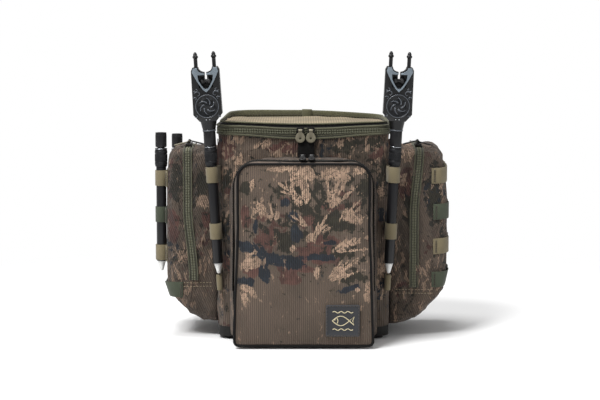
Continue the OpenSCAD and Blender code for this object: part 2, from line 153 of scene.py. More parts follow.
class Nodes:
    """A short way to build a material's node tree."""

    def __init__(self, name):
        self.mat = bpy.data.materials.new(name)
        self.mat.use_nodes = True
        self.tree = self.mat.node_tree
        self.bsdf = self.tree.nodes["Principled BSDF"]

    def add(self, kind, **values):
        node = self.tree.nodes.new("ShaderNode" + kind)
        for key, value in values.items():
            setattr(node, key, value)
        return node

    def link(self, out, into):
        self.tree.links.new(out, into)

    def feed(self, socket, value):
        if isinstance(value, bpy.types.NodeSocket):
            self.link(value, socket)
        else:
            socket.default_value = value

    def place(self):
        return self.add("TexCoord").outputs["Object"]

    def cloth(self):
        """Cloth coordinates in metres: across the ribs, then along them."""
        return self.add("UVMap", uv_map="cloth").outputs["UV"]

    def mapped(self, vector, scale=(1, 1, 1), turn=0.0, move=(0, 0, 0)):
        node = self.add("Mapping")
        self.feed(node.inputs["Vector"], vector)
        node.inputs["Scale"].default_value = scale
        node.inputs["Rotation"].default_value = (0, 0, turn)
        node.inputs["Location"].default_value = move
        return node.outputs["Vector"]

    def noise(self, vector, scale, detail=2.0, rough=0.5, distortion=0.0):
        node = self.add("TexNoise")
        self.feed(node.inputs["Vector"], vector)
        node.inputs["Scale"].default_value = scale
        node.inputs["Detail"].default_value = detail
        node.inputs["Roughness"].default_value = rough
        node.inputs["Distortion"].default_value = distortion
        return node.outputs["Fac"]

    def wave(self, vector, pitch, direction="X", distortion=0.0):
        """Bands that repeat at a pitch in metres, from 0 to 1."""
        node = self.add("TexWave", wave_type="BANDS", bands_direction=direction, wave_profile="SIN")
        self.feed(node.inputs["Vector"], vector)
        node.inputs["Scale"].default_value = 2 * math.pi / 20 / pitch
        node.inputs["Distortion"].default_value = distortion
        node.inputs["Detail Scale"].default_value = 3.0
        return node.outputs["Fac"]

    def math(self, operation, a, b=0.0, c=0.0):
        node = self.add("Math", operation=operation)
        for socket, value in zip(node.inputs, (a, b, c)):
            self.feed(socket, value)
        return node.outputs[0]

    def ramp(self, value, low, high):
        """0 below low, 1 above high, smooth between."""
        node = self.add("MapRange", interpolation_type="SMOOTHSTEP")
        self.feed(node.inputs["Value"], value)
        node.inputs["From Min"].default_value = low
        node.inputs["From Max"].default_value = high
        return node.outputs["Result"]

    def mix(self, factor, a, b, blend="MIX"):
        node = self.add("Mix", data_type="RGBA", blend_type=blend)
        self.feed(node.inputs["Factor"], factor)
        for socket, value in ((node.inputs[6], a), (node.inputs[7], b)):
            self.feed(socket, value if isinstance(value, bpy.types.NodeSocket) else (*value, 1.0))
        return node.outputs[2]

    def printed(self):
        """Where the print's inks lie, as painted on the mesh: tan, navy, olive and maroon."""
        node = self.add("Attribute", attribute_name="print")
        split = self.add("SeparateColor")
        self.link(node.outputs["Color"], split.inputs[0])
        return split.outputs[0], split.outputs[1], split.outputs[2], node.outputs["Alpha"]

    def bump(self, height, distance, strength=1.0, below=None):
        node = self.add("Bump")
        self.feed(node.inputs["Height"], height)
        node.inputs["Distance"].default_value = distance
        node.inputs["Strength"].default_value = strength
        if below is not None:
            self.link(below, node.inputs["Normal"])
        return node.outputs["Normal"]

    def finish(self, colour, rough, normal=None, metallic=0.0, sheen=0.0, shine=0.5):
        self.feed(self.bsdf.inputs["Base Color"], colour if not isinstance(colour, tuple) else (*colour, 1.0))
        self.feed(self.bsdf.inputs["Roughness"], rough)
        self.bsdf.inputs["Metallic"].default_value = metallic
        self.bsdf.inputs["Specular IOR Level"].default_value = shine
        self.bsdf.inputs["Sheen Weight"].default_value = sheen
        self.bsdf.inputs["Sheen Roughness"].default_value = 0.6
        if normal is not None:
            self.link(normal, self.bsdf.inputs["Normal"])
        return self.mat


def srgb(r, g, b):
    """A colour on the 0 to 255 scale, as linear light."""
    return tuple(((v / 255 + 0.055) / 1.055) ** 2.4 if v > 10 else v / 255 / 12.92 for v in (r, g, b))


BROWN = srgb(102, 87, 75)
TAN = srgb(188, 158, 134)
OLIVE = srgb(50, 46, 34)
MAROON = srgb(98, 66, 58)
NAVY = srgb(32, 40, 50)


def rib_shade(n, coordinates, pitch, turn=0.0):
    """The cord ribs of the pack fabric, with a fine weave between them: (height, shade)."""
    turned = n.mapped(coordinates, turn=turn)
    ribs = n.wave(turned, pitch)
    weave = n.wave(turned, pitch / 3, "Y")
    height = n.math("ADD", ribs, n.math("MULTIPLY", weave, 0.25))
    shade = n.ramp(height, 0.1, 0.9)
    return height, shade


def camo_colour(n, place):
    """Leaf camouflage: each ink fills its painted areas, with edges torn by noise."""
    warp = n.add("TexNoise")
    n.feed(warp.inputs["Vector"], place)
    warp.inputs["Scale"].default_value = 38.0
    warp.inputs["Detail"].default_value = 3.0
    shift = n.add("VectorMath", operation="SCALE")
    n.feed(shift.inputs[0], warp.outputs["Color"])
    shift.inputs["Scale"].default_value = 0.022
    moved = n.add("VectorMath", operation="ADD")
    n.feed(moved.inputs[0], place)
    n.link(shift.outputs[0], moved.inputs[1])
    warped = moved.outputs[0]
    strokes = n.mapped(warped, scale=(1.0, 1.0, 0.3), move=(0.7, 0.1, 0.4))
    tan, navy, olive, maroon = n.printed()
    colour = n.mix(n.ramp(n.noise(place, 11.0, 3.0), 0.35, 0.7), BROWN, srgb(84, 72, 61))
    for tint, mask, vector, scale, spread in (
        (MAROON, maroon, warped, 62.0, 2.0),
        (OLIVE, olive, n.mapped(warped, move=(0.2, 0.5, 0.1)), 95.0, 2.6),
        (NAVY, navy, n.mapped(warped, move=(0.31, 0.2, 0.17)), 75.0, 2.2),
        (TAN, tan, strokes, 150.0, 3.2),
    ):
        field = n.noise(vector, scale, 4.0, 0.6)
        amount = n.math("MULTIPLY_ADD", n.math("SUBTRACT", field, 0.5), spread, mask)
        tone = n.mix(n.ramp(field, 0.42, 0.62), tint, tuple(c * 0.62 for c in tint))
        colour = n.mix(n.ramp(amount, 0.42, 0.56), colour, tone)
    veins = n.math("ABSOLUTE", n.math("SUBTRACT", n.noise(warped, 150.0, 2.0), 0.5))
    inked = n.math("MAXIMUM", tan, n.math("MULTIPLY", olive, 0.8))
    line = n.math("MULTIPLY", n.ramp(veins, 0.035, 0.012), n.ramp(inked, 0.25, 0.6))
    return n.mix(n.math("MULTIPLY", line, 0.85), colour, srgb(42, 36, 28))


def pack_fabric(name, pitch, turn=0.0, shade=1.0, fold=2.5 * MM, fold_scale=22.0, fold_shading=0.6):
    """Ribbed pack fabric with its printed camouflage, painted shade in its rib valleys, soft folds and a
    little dust. shade scales the whole colour as painted shade, which makes darker copies of one fabric;
    creased is how much painted light and shade of the folds, lighter on their crests and darker in their
    troughs, shows in its colour."""
    n = Nodes(name)
    place = n.place()
    colour = camo_colour(n, place)
    height, ribs = rib_shade(n, n.cloth(), pitch, turn)
    # painted shade: the colour darkens towards near black in the rib valleys
    dark = n.mix(0.62, colour, (0.010, 0.008, 0.006))
    colour = n.mix(n.math("MULTIPLY_ADD", ribs, 0.8, 0.2), dark, colour)
    dust = n.noise(place, 7.0, 4.0)
    # shade scales this mottle and so the whole colour: painted shade that makes darker copies of one fabric
    light = n.mix(n.ramp(dust, 0.3, 0.75), (0.80 * shade,) * 3, (1.14 * shade,) * 3)
    colour = n.mix(1.0, colour, light, "MULTIPLY")
    grain = n.noise(place, 900.0, 2.0)
    long = n.mapped(n.mapped(place, turn=0.2), scale=(1.0, 1.0, 0.5))
    swell = n.noise(long, fold_scale, 3.0, 0.55, 0.6)
    crest = n.ramp(n.math("ABSOLUTE", n.math("SUBTRACT", swell, 0.5)), 0.09, 0.0)
    folds = n.math("MULTIPLY_ADD", crest, 0.22, swell)
    # painted light and shade on the folds: lighter on their crests, darker in their troughs
    fold_light_and_shade = n.mix(n.ramp(folds, 0.35, 0.75), (0.84, 0.84, 0.84), (1.14, 1.14, 1.14))
    colour = n.mix(fold_shading, colour, n.mix(1.0, colour, fold_light_and_shade, "MULTIPLY"))
    normal = n.bump(grain, 0.0002, 0.5)
    normal = n.bump(height, 0.0008, 1.0, normal)
    normal = n.bump(folds, fold, 0.9, normal)
    rough = n.math("MULTIPLY_ADD", grain, 0.2, 0.66)
    return n.finish(colour, rough, normal, sheen=0.08, shine=0.3)


def woven(name, colour, pitch=1.6 * MM, rough=0.75, depth=0.25 * MM, contrast=0.45, sheen=0.15):
    """Webbing or tape: a twill weave with small colour changes."""
    n = Nodes(name)
    place = n.place()
    across = n.wave(n.mapped(n.cloth(), turn=0.6), pitch)
    along = n.wave(n.mapped(n.cloth(), turn=-0.6), pitch)
    weave = n.math("MAXIMUM", across, along)
    mottle = n.noise(place, 60.0, 3.0)
    dark = tuple(c * (1 - contrast) for c in colour)
    tint = n.mix(n.ramp(weave, 0.3, 0.95), dark, colour)
    tint = n.mix(n.math("MULTIPLY", mottle, 0.5), tint, tuple(min(1, c * 1.35) for c in colour))
    return n.finish(tint, rough, n.bump(weave, depth, 0.8), sheen=sheen, shine=0.25)


def mesh_fabric(name, colour):
    """Air mesh over padding: a hexagon-like net of small holes."""
    n = Nodes(name)
    cells = n.add("TexVoronoi", feature="DISTANCE_TO_EDGE")
    n.feed(cells.inputs["Vector"], n.place())
    cells.inputs["Scale"].default_value = 330.0
    net = n.ramp(cells.outputs["Distance"], 0.05, 0.28)
    tint = n.mix(net, colour, tuple(c * 0.25 for c in colour))
    height = n.math("SUBTRACT", 1.0, net)
    return n.finish(tint, 0.85, n.bump(height, 0.5 * MM, 0.8), sheen=0.2)


def moulded(name, colour, rough=0.55, grain=500.0, depth=0.08 * MM, metallic=0.0, wear=0.25, shine=0.22):
    """Moulded plastic, rubber or painted metal: fine grain, uneven gloss and rubbed edges."""
    n = Nodes(name)
    place = n.place()
    speckle = n.noise(place, grain, 3.0)
    smear = n.noise(place, 35.0, 4.0)
    edge = n.add("NewGeometry").outputs["Pointiness"]
    rubbed = n.math("MULTIPLY", n.ramp(edge, 0.52, 0.58), wear)
    tint = n.mix(n.math("MULTIPLY", smear, 0.35), colour, tuple(min(1, c * 1.5 + 0.004) for c in colour))
    tint = n.mix(rubbed, tint, tuple(min(1, c * 2.5 + 0.03) for c in colour))
    gloss = n.math("MULTIPLY_ADD", smear, 0.3, rough - 0.15)
    return n.finish(tint, gloss, n.bump(speckle, depth, 0.6), metallic=metallic, shine=shine)


def lid_fabric():
    """The lid's tan ribbed top, mottled, with painted shade in its rib valleys."""
    n = Nodes("lid_fabric")
    place = n.place()
    height, ribs = rib_shade(n, place, 4 * MM)
    mottle = n.noise(place, 22.0, 4.0)
    tan = n.mix(n.ramp(mottle, 0.35, 0.65), srgb(122, 109, 85), srgb(146, 130, 102))
    # painted shade: darker tan in the rib valleys
    tint = n.mix(n.math("MULTIPLY_ADD", ribs, 0.6, 0.4), srgb(86, 76, 58), tan)
    return n.finish(tint, 0.8, n.bump(height, 0.6 * MM, 0.9), sheen=0.1)


MATS = {
    "front": pack_fabric("front_camo", 3.0 * MM, fold=2.5 * MM, fold_scale=14.0, fold_shading=0.3),
    # body and side are darker copies of the front fabric through shade, which is painted shade
    "body": pack_fabric("body_camo", 3.0 * MM, shade=0.92, fold=6.0 * MM, fold_scale=24.0, fold_shading=0.9),
    "side": pack_fabric("side_camo", 2.7 * MM, 0.35, shade=0.80, fold=8.0 * MM, fold_scale=30.0, fold_shading=1.0),
    "lining": woven("lining", srgb(44, 40, 35), 2.5 * MM, 0.8, 0.1 * MM),
    "tape": woven("zip_tape_weave", srgb(50, 50, 40), 1.2 * MM),
    "coil": moulded("zip_coil", srgb(86, 86, 70), 0.4),
    "cord": woven("olive_cord", srgb(80, 79, 60), 1.4 * MM),
    "binding": woven("olive_binding", srgb(86, 85, 62), 1.5 * MM),
    "piping": woven("black_piping", srgb(9, 8, 8), 1.2 * MM, 0.85, sheen=0.0),
    "dark_tape": woven("dark_zip_tape", srgb(22, 21, 18), 1.2 * MM, sheen=0.0),
    "tan_web": woven("tan_webbing", srgb(112, 102, 78), 1.8 * MM),
    "green_web": woven("green_webbing", srgb(58, 64, 49), 1.8 * MM),
    "black_web": woven("black_webbing", srgb(30, 29, 28), 1.8 * MM),
    "net": mesh_fabric("air_mesh", srgb(44, 42, 40)),
    "lid": lid_fabric(),
    "thread": woven("thread", srgb(150, 134, 108), 0.6 * MM, 0.6),
    "dark_thread": woven("dark_thread", srgb(64, 56, 46), 0.6 * MM, 0.6),
    "base": moulded("base_plastic", srgb(24, 23, 22), 0.6, 700.0, 0.2 * MM),
    "stick": moulded("anodised_black", srgb(9, 9, 12), 0.36, 900.0, 0.02 * MM, shine=0.28),
    "collar": moulded("collar_black", srgb(13, 14, 17), 0.42, 900.0, 0.03 * MM, shine=0.28),
    "ring": moulded("bright_ring", srgb(120, 122, 126), 0.22, 900.0, 0.01 * MM, metallic=1.0),
    "tip": moulded("bright_tip", srgb(206, 206, 204), 0.4, 900.0, 0.02 * MM, metallic=0.2),
    "alarm": moulded("alarm_plastic", srgb(8, 9, 11), 0.32, 900.0, 0.04 * MM, shine=0.38),
    # the alarm's black plastic in a lighter grey: painted highlight on its raised scrolls, speaker vanes and
    # rings
    "relief": moulded("alarm_relief", srgb(58, 62, 68), 0.28, 900.0, 0.03 * MM, shine=0.6),
    "plate": moulded("alarm_plate", srgb(112, 122, 130), 0.33, 800.0, 0.02 * MM, metallic=0.45, shine=0.5),
    "speaker": moulded("speaker_plastic", srgb(15, 17, 20), 0.3, 800.0, 0.02 * MM, shine=0.35),
    "lamp": moulded("clear_lens", srgb(168, 174, 178), 0.2, 800.0, 0.01 * MM),
    "slider": moulded("slider_metal", srgb(30, 29, 28), 0.32, 800.0, 0.02 * MM, metallic=0.6),
    "grey_tab": moulded("grey_rubber", srgb(104, 99, 84), 0.5, 600.0, 0.05 * MM, wear=0.5),
    "black_tab": moulded("black_rubber", srgb(26, 26, 27), 0.42, 600.0, 0.05 * MM, shine=0.4),
    "badge": moulded("badge_rubber", srgb(48, 49, 52), 0.6, 1200.0, 0.12 * MM),
    "emblem": moulded("emblem_rubber", srgb(176, 164, 134), 0.55, 900.0, 0.05 * MM),
}


# ---------------------------------------------------------------- mesh building blocks

def cloth_map(mesh, ribs_on_side="y"):
    """Writes cloth coordinates in metres from each face's direction, so that ribs run up every wall."""
    layer = mesh.uv_layers.get("cloth") or mesh.uv_layers.new(name="cloth")
    for face in mesh.polygons:
        nx, ny, nz = (abs(c) for c in face.normal)
        for loop in face.loop_indices:
            co = mesh.vertices[mesh.loops[loop].vertex_index].co
            if nz > max(nx, ny):
                uv = (co.x, co.y) if ribs_on_side == "x" else (co.y, co.x)
            elif nx > ny:
                uv = (co.y, co.z)
            else:
                uv = (co.x, co.z)
            layer.data[loop].uv = uv


def build(name, verts, faces, material, uvs=None):
    """Makes a smooth-shaded object. uvs holds cloth coordinates for each vertex."""
    mesh = bpy.data.meshes.new(name)
    mesh.from_pydata([tuple(v) for v in verts], [], faces)
    mesh.validate()
    mesh.polygons.foreach_set("use_smooth", [True] * len(mesh.polygons))
    mesh.materials.append(MATS[material])
    if uvs is None:
        cloth_map(mesh)
    else:
        layer = mesh.uv_layers.new(name="cloth")
        for loop in mesh.loops:
            layer.data[loop.index].uv = uvs[loop.vertex_index]
    piece = bpy.data.objects.new(name, mesh)
    bpy.context.scene.collection.objects.link(piece)
    return piece


def apply_modifiers(piece):
    """Replaces the mesh by the one its modifiers make."""
    graph = bpy.context.evaluated_depsgraph_get()
    mesh = bpy.data.meshes.new_from_object(piece.evaluated_get(graph))
    piece.modifiers.clear()
    piece.data = mesh
    return piece


def thicken(piece, thickness, lining="lining"):
    """Gives a sheet its thickness inwards, with the lining on its inner face. An inside-out sheet is turned
    first."""
    middle = sum((v.co for v in piece.data.vertices), Vector()) / len(piece.data.vertices)
    if sum(f.area * (f.center - middle).dot(f.normal) for f in piece.data.polygons) < 0:
        piece.data.flip_normals()
    piece.data.materials.append(MATS[lining])
    piece.data.materials.append(MATS["piping"])
    wall = piece.modifiers.new("wall", "SOLIDIFY")
    wall.thickness = thickness
    wall.offset = -1
    wall.material_offset = 1
    wall.material_offset_rim = 2
    return apply_modifiers(piece)


def outline(u0, u1, v0, v1, radii, corner=8, side=14):
    """A rounded rectangle, anticlockwise from its lower left corner. radii: lower left, lower right, upper
    right, upper left. Returns (u, v, outward u, outward v) for each point; every outline with the same corner
    and side has the same point count."""
    arcs = []
    for (cu, cv, start), r in zip([(u0, v0, 180), (u1, v0, 270), (u1, v1, 0), (u0, v1, 90)], radii):
        mu = cu + r if cu == u0 else cu - r
        mv = cv + r if cv == v0 else cv - r
        arc = []
        for i in range(corner + 1):
            a = math.radians(start + 90 * i / corner)
            arc.append((mu + r * math.cos(a), mv + r * math.sin(a), math.cos(a), math.sin(a)))
        arcs.append(arc)
    points = []
    for arc, following in zip(arcs, arcs[1:] + arcs[:1]):
        points += arc
        (u, v, _, _), (end_u, end_v, nu, nv) = arc[-1], following[0]
        for i in range(1, side):
            t = i / side
            points.append((u + (end_u - u) * t, v + (end_v - v) * t, nu, nv))
    return points


def loft(name, rings, material, closed=True, fill_last=False, flip=False, ribs_on_side="y"):
    """A skin over rings of points. fill_last closes the last ring with a fan."""
    count = len(rings[0])
    verts = [p for ring in rings for p in ring]
    faces = []
    last = count if closed else count - 1
    for r in range(len(rings) - 1):
        for i in range(last):
            j = (i + 1) % count
            a, b = r * count + i, r * count + j
            quad = (a, b, b + count, a + count)
            faces.append(quad[::-1] if flip else quad)
    if fill_last:
        start = (len(rings) - 1) * count
        middle = sum((Vector(p) for p in rings[-1]), Vector()) / count
        verts.append(middle)
        for i in range(count):
            tri = (start + i, start + (i + 1) % count, len(verts) - 1)
            faces.append(tri[::-1] if flip else tri)
    piece = build(name, verts, faces, material)
    cloth_map(piece.data, ribs_on_side)
    return piece


def sweep(name, frames, profile, material, closed=False, size=None):
    """Sweeps a closed profile of (a, b) along frames of (position, a direction, b direction).
    size(t) scales the profile along the path."""
    count, n = len(profile), len(frames)
    verts, uvs, length = [], [], 0.0
    rim = [0.0]
    for (a0, b0), (a1, b1) in zip(profile, profile[1:] + profile[:1]):
        rim.append(rim[-1] + math.hypot(a1 - a0, b1 - b0))
    for i, (pos, da, db) in enumerate(frames):
        if i:
            length += (pos - frames[i - 1][0]).length
        sa, sb = size(i / max(1, n - 1)) if size else (1, 1)
        for k, (a, b) in enumerate(profile):
            verts.append(pos + da * (a * sa) + db * (b * sb))
            uvs.append((length, rim[k]))
    faces = []
    for i in range(n if closed else n - 1):
        p, q = i * count, ((i + 1) % n) * count
        for k in range(count):
            m = (k + 1) % count
            faces.append((p + k, p + m, q + m, q + k))
    if not closed:
        faces.append(tuple(range(count))[::-1])
        faces.append(tuple((n - 1) * count + k for k in range(count)))
    return outward(build(name, verts, faces, material, uvs))


def outward(piece):
    """Turns every face to point out of the solid."""
    mesh = bmesh.new()
    mesh.from_mesh(piece.data)
    bmesh.ops.recalc_face_normals(mesh, faces=mesh.faces)
    mesh.to_mesh(piece.data)
    mesh.free()
    return piece


def flat_profile(a, b, segments=3):
    """A flat band's section with rounded edges: a thick, b wide."""
    r = a / 2
    points = []
    for side in (1, -1):
        for i in range(segments + 1):
            t = math.radians(90 * side - 180 * i / segments)
            points.append((r * math.sin(t), side * (b / 2 - r + r * abs(math.cos(t)))))
    return points


def round_profile(r, segments=8):
    """A round section."""
    return [(r * math.cos(2 * math.pi * i / segments), r * math.sin(2 * math.pi * i / segments))
            for i in range(segments)]


def oval_profile(a, b, segments=12, power=0.6):
    """A rounded block's section: a thick, b wide."""
    points = []
    for i in range(segments):
        t = 2 * math.pi * i / segments
        c, s = math.cos(t), math.sin(t)
        points.append((a / 2 * math.copysign(abs(c) ** power, c), b / 2 * math.copysign(abs(s) ** power, s)))
    return points


def merge(name, pieces):
    """Joins pieces of one body into one object."""
    with bpy.context.temp_override(active_object=pieces[0], selected_editable_objects=pieces,
                                   selected_objects=pieces, object=pieces[0]):
        bpy.ops.object.join()
    pieces[0].name = name
    pieces[0].data.name = name
    return pieces[0]


def crease(co, seed, size=0.05, tilt=0.0):
    """Folds from about -0.6 to 1: narrow ridges that run up the wall, or along a tilt, over soft swells."""
    c, s = math.cos(tilt), math.sin(tilt)
    across, along = co.x * c + co.z * s, co.z * c - co.x * s
    q = Vector((across / size, co.y / size, along / (size * 2.4))) + Vector((seed, seed * 1.7, seed * 0.6))
    ridge = max(0.0, 1 - 2.6 * abs(noise.noise(q)))
    return 0.9 * ridge ** 2 - 0.25 + 0.6 * noise.noise(q * 0.7) + 0.25 * noise.noise(q * 2.6)


def push(piece, fold):
    """Moves points along their normals by fold(co)."""
    mesh = piece.data
    moves = [v.co + v.normal * fold(v.co) for v in mesh.vertices]
    for v, co in zip(mesh.vertices, moves):
        v.co = co
    mesh.update()
    return piece


def wrinkle(piece, amount, seed, size=0.05, keep=None, tilt=0.0):
    """Moves points along their normals by creases. keep(co) scales the move."""
    return push(piece, lambda co: amount * (keep(co) if keep else 1.0) * crease(co, seed, size, tilt))


INKS = ("tan", "navy", "olive", "maroon")


def patches(**inks):
    """Areas of each ink as (x, z, half width, half height, tilt in degrees, strength), in millimetres in the
    front plane; the last two may be left out. Returns them with the ink first."""
    areas = []
    for ink, rows in inks.items():
        for row in rows:
            areas.append((ink, *row, *(0, 1.0)[len(row) - 4:]))
    return areas


def paint(piece, areas, wild=0.0, seed=0.0):
    """Paints where the print's inks lie: the print's areas, and with wild some from noise."""
    mesh = piece.data
    layer = mesh.attributes.get("print") or mesh.attributes.new("print", "FLOAT_COLOR", "POINT")
    turns = [(math.cos(math.radians(p[5])), math.sin(math.radians(p[5]))) for p in areas]
    for i, v in enumerate(mesh.vertices):
        masks = [0.0] * 4
        for (ink, x, z, w, h, _, strength), (c, s) in zip(areas, turns):
            dx, dz = v.co.x / MM - x, v.co.z / MM - z
            if abs(dx) + abs(dz) > 2.4 * (w + h):
                continue
            d = math.hypot((dx * c + dz * s) / w, (dz * c - dx * s) / h)
            k = INKS.index(ink)
            masks[k] = max(masks[k], strength * min(1.0, 1.25 - 0.75 * d))
        if wild:
            for k in range(4):
                q = Vector((v.co.x, v.co.y, v.co.z * 0.8)) * 17 + Vector((k * 7.1 + seed, seed, k * 3.3))
                masks[k] = max(masks[k], wild * min(1.0, 0.30 + 1.5 * noise.noise(q)))
        layer.data[i].color = masks
    return piece


def frond(ink, x, z, length, first, last, count, width=3.0):
    """Strokes of a palm-like leaf that spread from a point between two angles in degrees."""
    strokes = []
    for k in range(count):
        angle = first + (last - first) * (k + 0.5) / count
        long = length * (0.75 + 0.25 * math.sin(2.3 * k + x))
        a = math.radians(angle)
        tip_x, tip_z = x + 0.6 * long * math.cos(a), z + 0.6 * long * math.sin(a)
        strokes.append((ink, tip_x, tip_z, 0.42 * long, width, angle, 1.0))
    return strokes


def stitches(name, points, normals, material="thread", long=3.4 * MM, gap=1.8 * MM, r=0.38 * MM):
    """A row of stitches along a line of points that lies on cloth. Each stitch has six sides and dives into
    the cloth at both ends."""
    verts, faces, uvs = [], [], []
    lengths = run_lengths(points)

    def at(s):
        for i in range(len(points) - 1):
            if s <= lengths[i + 1] or i == len(points) - 2:
                t = (s - lengths[i]) / max(1e-9, lengths[i + 1] - lengths[i])
                return points[i].lerp(points[i + 1], t), normals[i].lerp(normals[i + 1], t).normalized()

    sides, s = 6, gap
    while s + long < lengths[-1]:
        (p0, n0), (p1, n1) = at(s), at(s + long)
        along = (p1 - p0).normalized()
        side = along.cross(n0).normalized()
        base = len(verts)
        for share, lift, fat in ((0.0, -0.3, 0.55), (0.2, 0.6, 1.0), (0.8, 0.6, 1.0), (1.0, -0.3, 0.55)):
            centre = p0.lerp(p1, share) + n0 * (r * lift)
            for k in range(sides):
                t = 2 * math.pi * k / sides
                verts.append(centre + side * (r * 1.3 * fat * math.cos(t)) + n0 * (r * fat * math.sin(t)))
                uvs.append((share * long, k * r))
        for ring in range(3):
            a = base + ring * sides
            for k in range(sides):
                m = (k + 1) % sides
                faces.append((a + k, a + m, a + sides + m, a + sides + k))
        faces.append(tuple(base + k for k in range(sides))[::-1])
        faces.append(tuple(base + 3 * sides + k for k in range(sides)))
        s += long + gap
    return outward(build(name, verts, faces, material, uvs))


def zip_teeth(name, frames, offset, material="coil", pitch=2.6 * MM):
    """One side of a zip's coil: a row of rounded teeth beside the meeting line. frames are
    (position, outward, across); offset is the row's distance across."""
    verts, faces = [], []
    lengths = run_lengths([f[0] for f in frames])
    shape = [(-1, 0, -1), (1, 0, -1), (1, 0, 1), (-1, 0, 1)]
    shape += [(-0.7, 1, -0.8), (0.7, 1, -0.8), (0.7, 1, 0.8), (-0.7, 1, 0.8)]
    quads = [(3, 2, 1, 0), (4, 5, 6, 7), (0, 1, 5, 4), (1, 2, 6, 5), (2, 3, 7, 6), (3, 0, 4, 7)]
    s, i = pitch / 2, 0
    while s < lengths[-1]:
        while i < len(frames) - 2 and s > lengths[i + 1]:
            i += 1
        t = (s - lengths[i]) / max(1e-9, lengths[i + 1] - lengths[i])
        pos = frames[i][0].lerp(frames[i + 1][0], t)
        out = frames[i][1].lerp(frames[i + 1][1], t).normalized()
        across = frames[i][2].lerp(frames[i + 1][2], t).normalized()
        along = across.cross(out).normalized()
        base = len(verts)
        for x, y, z in shape:
            spot = pos + along * (x * pitch * 0.36) + out * (y * 1.5 * MM)
            verts.append(spot + across * (offset + z * 1.7 * MM))
        faces.extend(tuple(base + k for k in q) for q in quads)
        s += pitch
    return outward(build(name, verts, faces, material))


def dress_cad(nodes, material, bevel=0.4 * MM, segments=2):
    """Gives CAD nodes their material and softens their edges, leaving their meshes alone."""
    for node in nodes:
        piece = frame["nodes"][node]
        piece.data.materials.clear()
        piece.data.materials.append(MATS[material])
        piece.data.polygons.foreach_set("use_smooth", [True] * len(piece.data.polygons))
        piece.data.polygons.foreach_set("material_index", [0] * len(piece.data.polygons))
        weld = piece.modifiers.new("weld", "WELD")
        weld.merge_threshold = 0.00001
        edge = piece.modifiers.new("edge", "BEVEL")
        edge.width = bevel
        edge.segments = segments
        edge.limit_method = "ANGLE"
        edge.angle_limit = math.radians(32)
        edge.harden_normals = True


def attach(piece, body, replaced=()):
    """Fixes a piece to a body, in place of the CAD nodes it stands for."""
    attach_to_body(piece, body)
    if replaced:
        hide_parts(*replaced)
    return piece


# ---------------------------------------------------------------- main compartment

WALL_T = 4 * MM
HALF_W, HALF_D = BODY_HI.x, BODY_HI.y


def front_sag(x, depth=1.0):
    """How far the main zip hangs down in the middle of the front, for a depth there."""
    t = min(1.0, abs(x) / HALF_W)
    return -depth * (1 - t * t) ** 2


def body_outline(inset=0.0, corner=8, side=44):
    """The body's outline seen from above."""
    r = CORNER_R - inset
    return outline(-HALF_W + inset, HALF_W - inset, -HALF_D + inset, HALF_D - inset, (r,) * 4, corner, side)


def wall_bulge(x, y, t):
    """How far the padded wall stands out: most at the middle of a panel."""
    front = max(0.0, 1 - (x / (HALF_W - CORNER_R)) ** 2)
    flank = max(0.0, 1 - (y / (HALF_D - CORNER_R)) ** 2)
    on_front = abs(y) > abs(x) - (HALF_W - HALF_D)
    return (front if on_front else flank) * math.sin(math.pi * t)


def sag_share(y):
    """1 on the front wall, fading to 0 along the sides."""
    return clamp((-y - HALF_D + CORNER_R) / CORNER_R)


def slump(piece):
    """Lets the top of the bag lean in at its rear left corner, as the half-empty bag does."""
    for v in piece.data.vertices:
        up = clamp((v.co.z - BODY_HI.z + 26 * MM) / (30 * MM))
        back = clamp((v.co.y + 78 * MM) / (178 * MM))
        left = clamp(-v.co.x / HALF_W)
        v.co.x += 13 * MM * ease(up) * back ** 1.2 * left
    piece.data.update()
    return piece


BODY_PRINT = patches(
    tan=[(-62, 308, 16, 5, 18), (-101, 286, 8, 13, -12), (-106, 262, 5, 8), (96, 300, 12, 3, 35),
         (112, 284, 10, 3, 35), (122, 236, 6, 12, 20), (124, 112, 5, 12)],
    maroon=[(-122, 300, 14, 18), (-112, 236, 10, 10), (118, 296, 16, 10, 30), (-30, 304, 26, 8),
            (-118, 120, 10, 14)],
    olive=[(-122, 258, 12, 14), (104, 312, 20, 8), (126, 262, 12, 22), (66, 306, 22, 10),
           (-126, 180, 8, 24)],
    navy=[(124, 196, 8, 14)],
)


def body_fabric():
    """The four walls of the bag as one creased shell."""
    bottom, top = BODY_LO.z - 1 * MM, BODY_HI.z + 6 * MM
    steps = 66
    rings = []
    for k in range(steps + 1):
        t = k / steps
        ring = []
        for x, y, nx, ny in body_outline():
            z = bottom + (top - bottom) * t
            z += front_sag(x, 8.0 * MM) * sag_share(y) * t ** 6
            out = 2.2 * MM * wall_bulge(x, y, t) - 1.8 * MM * math.exp(-((t - 0.96) / 0.03) ** 2)
            ring.append(Vector((x + nx * out, y + ny * out, z)))
        rings.append(ring)
    piece = loft("body_fabric", rings, "body")

    def keep(co):
        t = (co.z - bottom) / (top - bottom)
        behind_pocket = 0.0 if abs(co.x) < 0.1 and co.y < -HALF_D + 0.005 and co.z < FRONT_HI.z else 1.0
        beside_pad = 0.3 if co.y > HALF_D - 0.005 else 1.0
        return min(1.0, 6 * (1 - t)) * min(1.0, 8 * t + 0.1) * behind_pocket * beside_pad

    wrinkle(piece, 4.0 * MM, 3.1, 0.05, keep, 0.5)
    paint(piece, BODY_PRINT, 0.42, 2.0)
    slump(thicken(piece, WALL_T))
    attach(piece, "pack", ("front_panel", "side_panels", "rear_panel"))


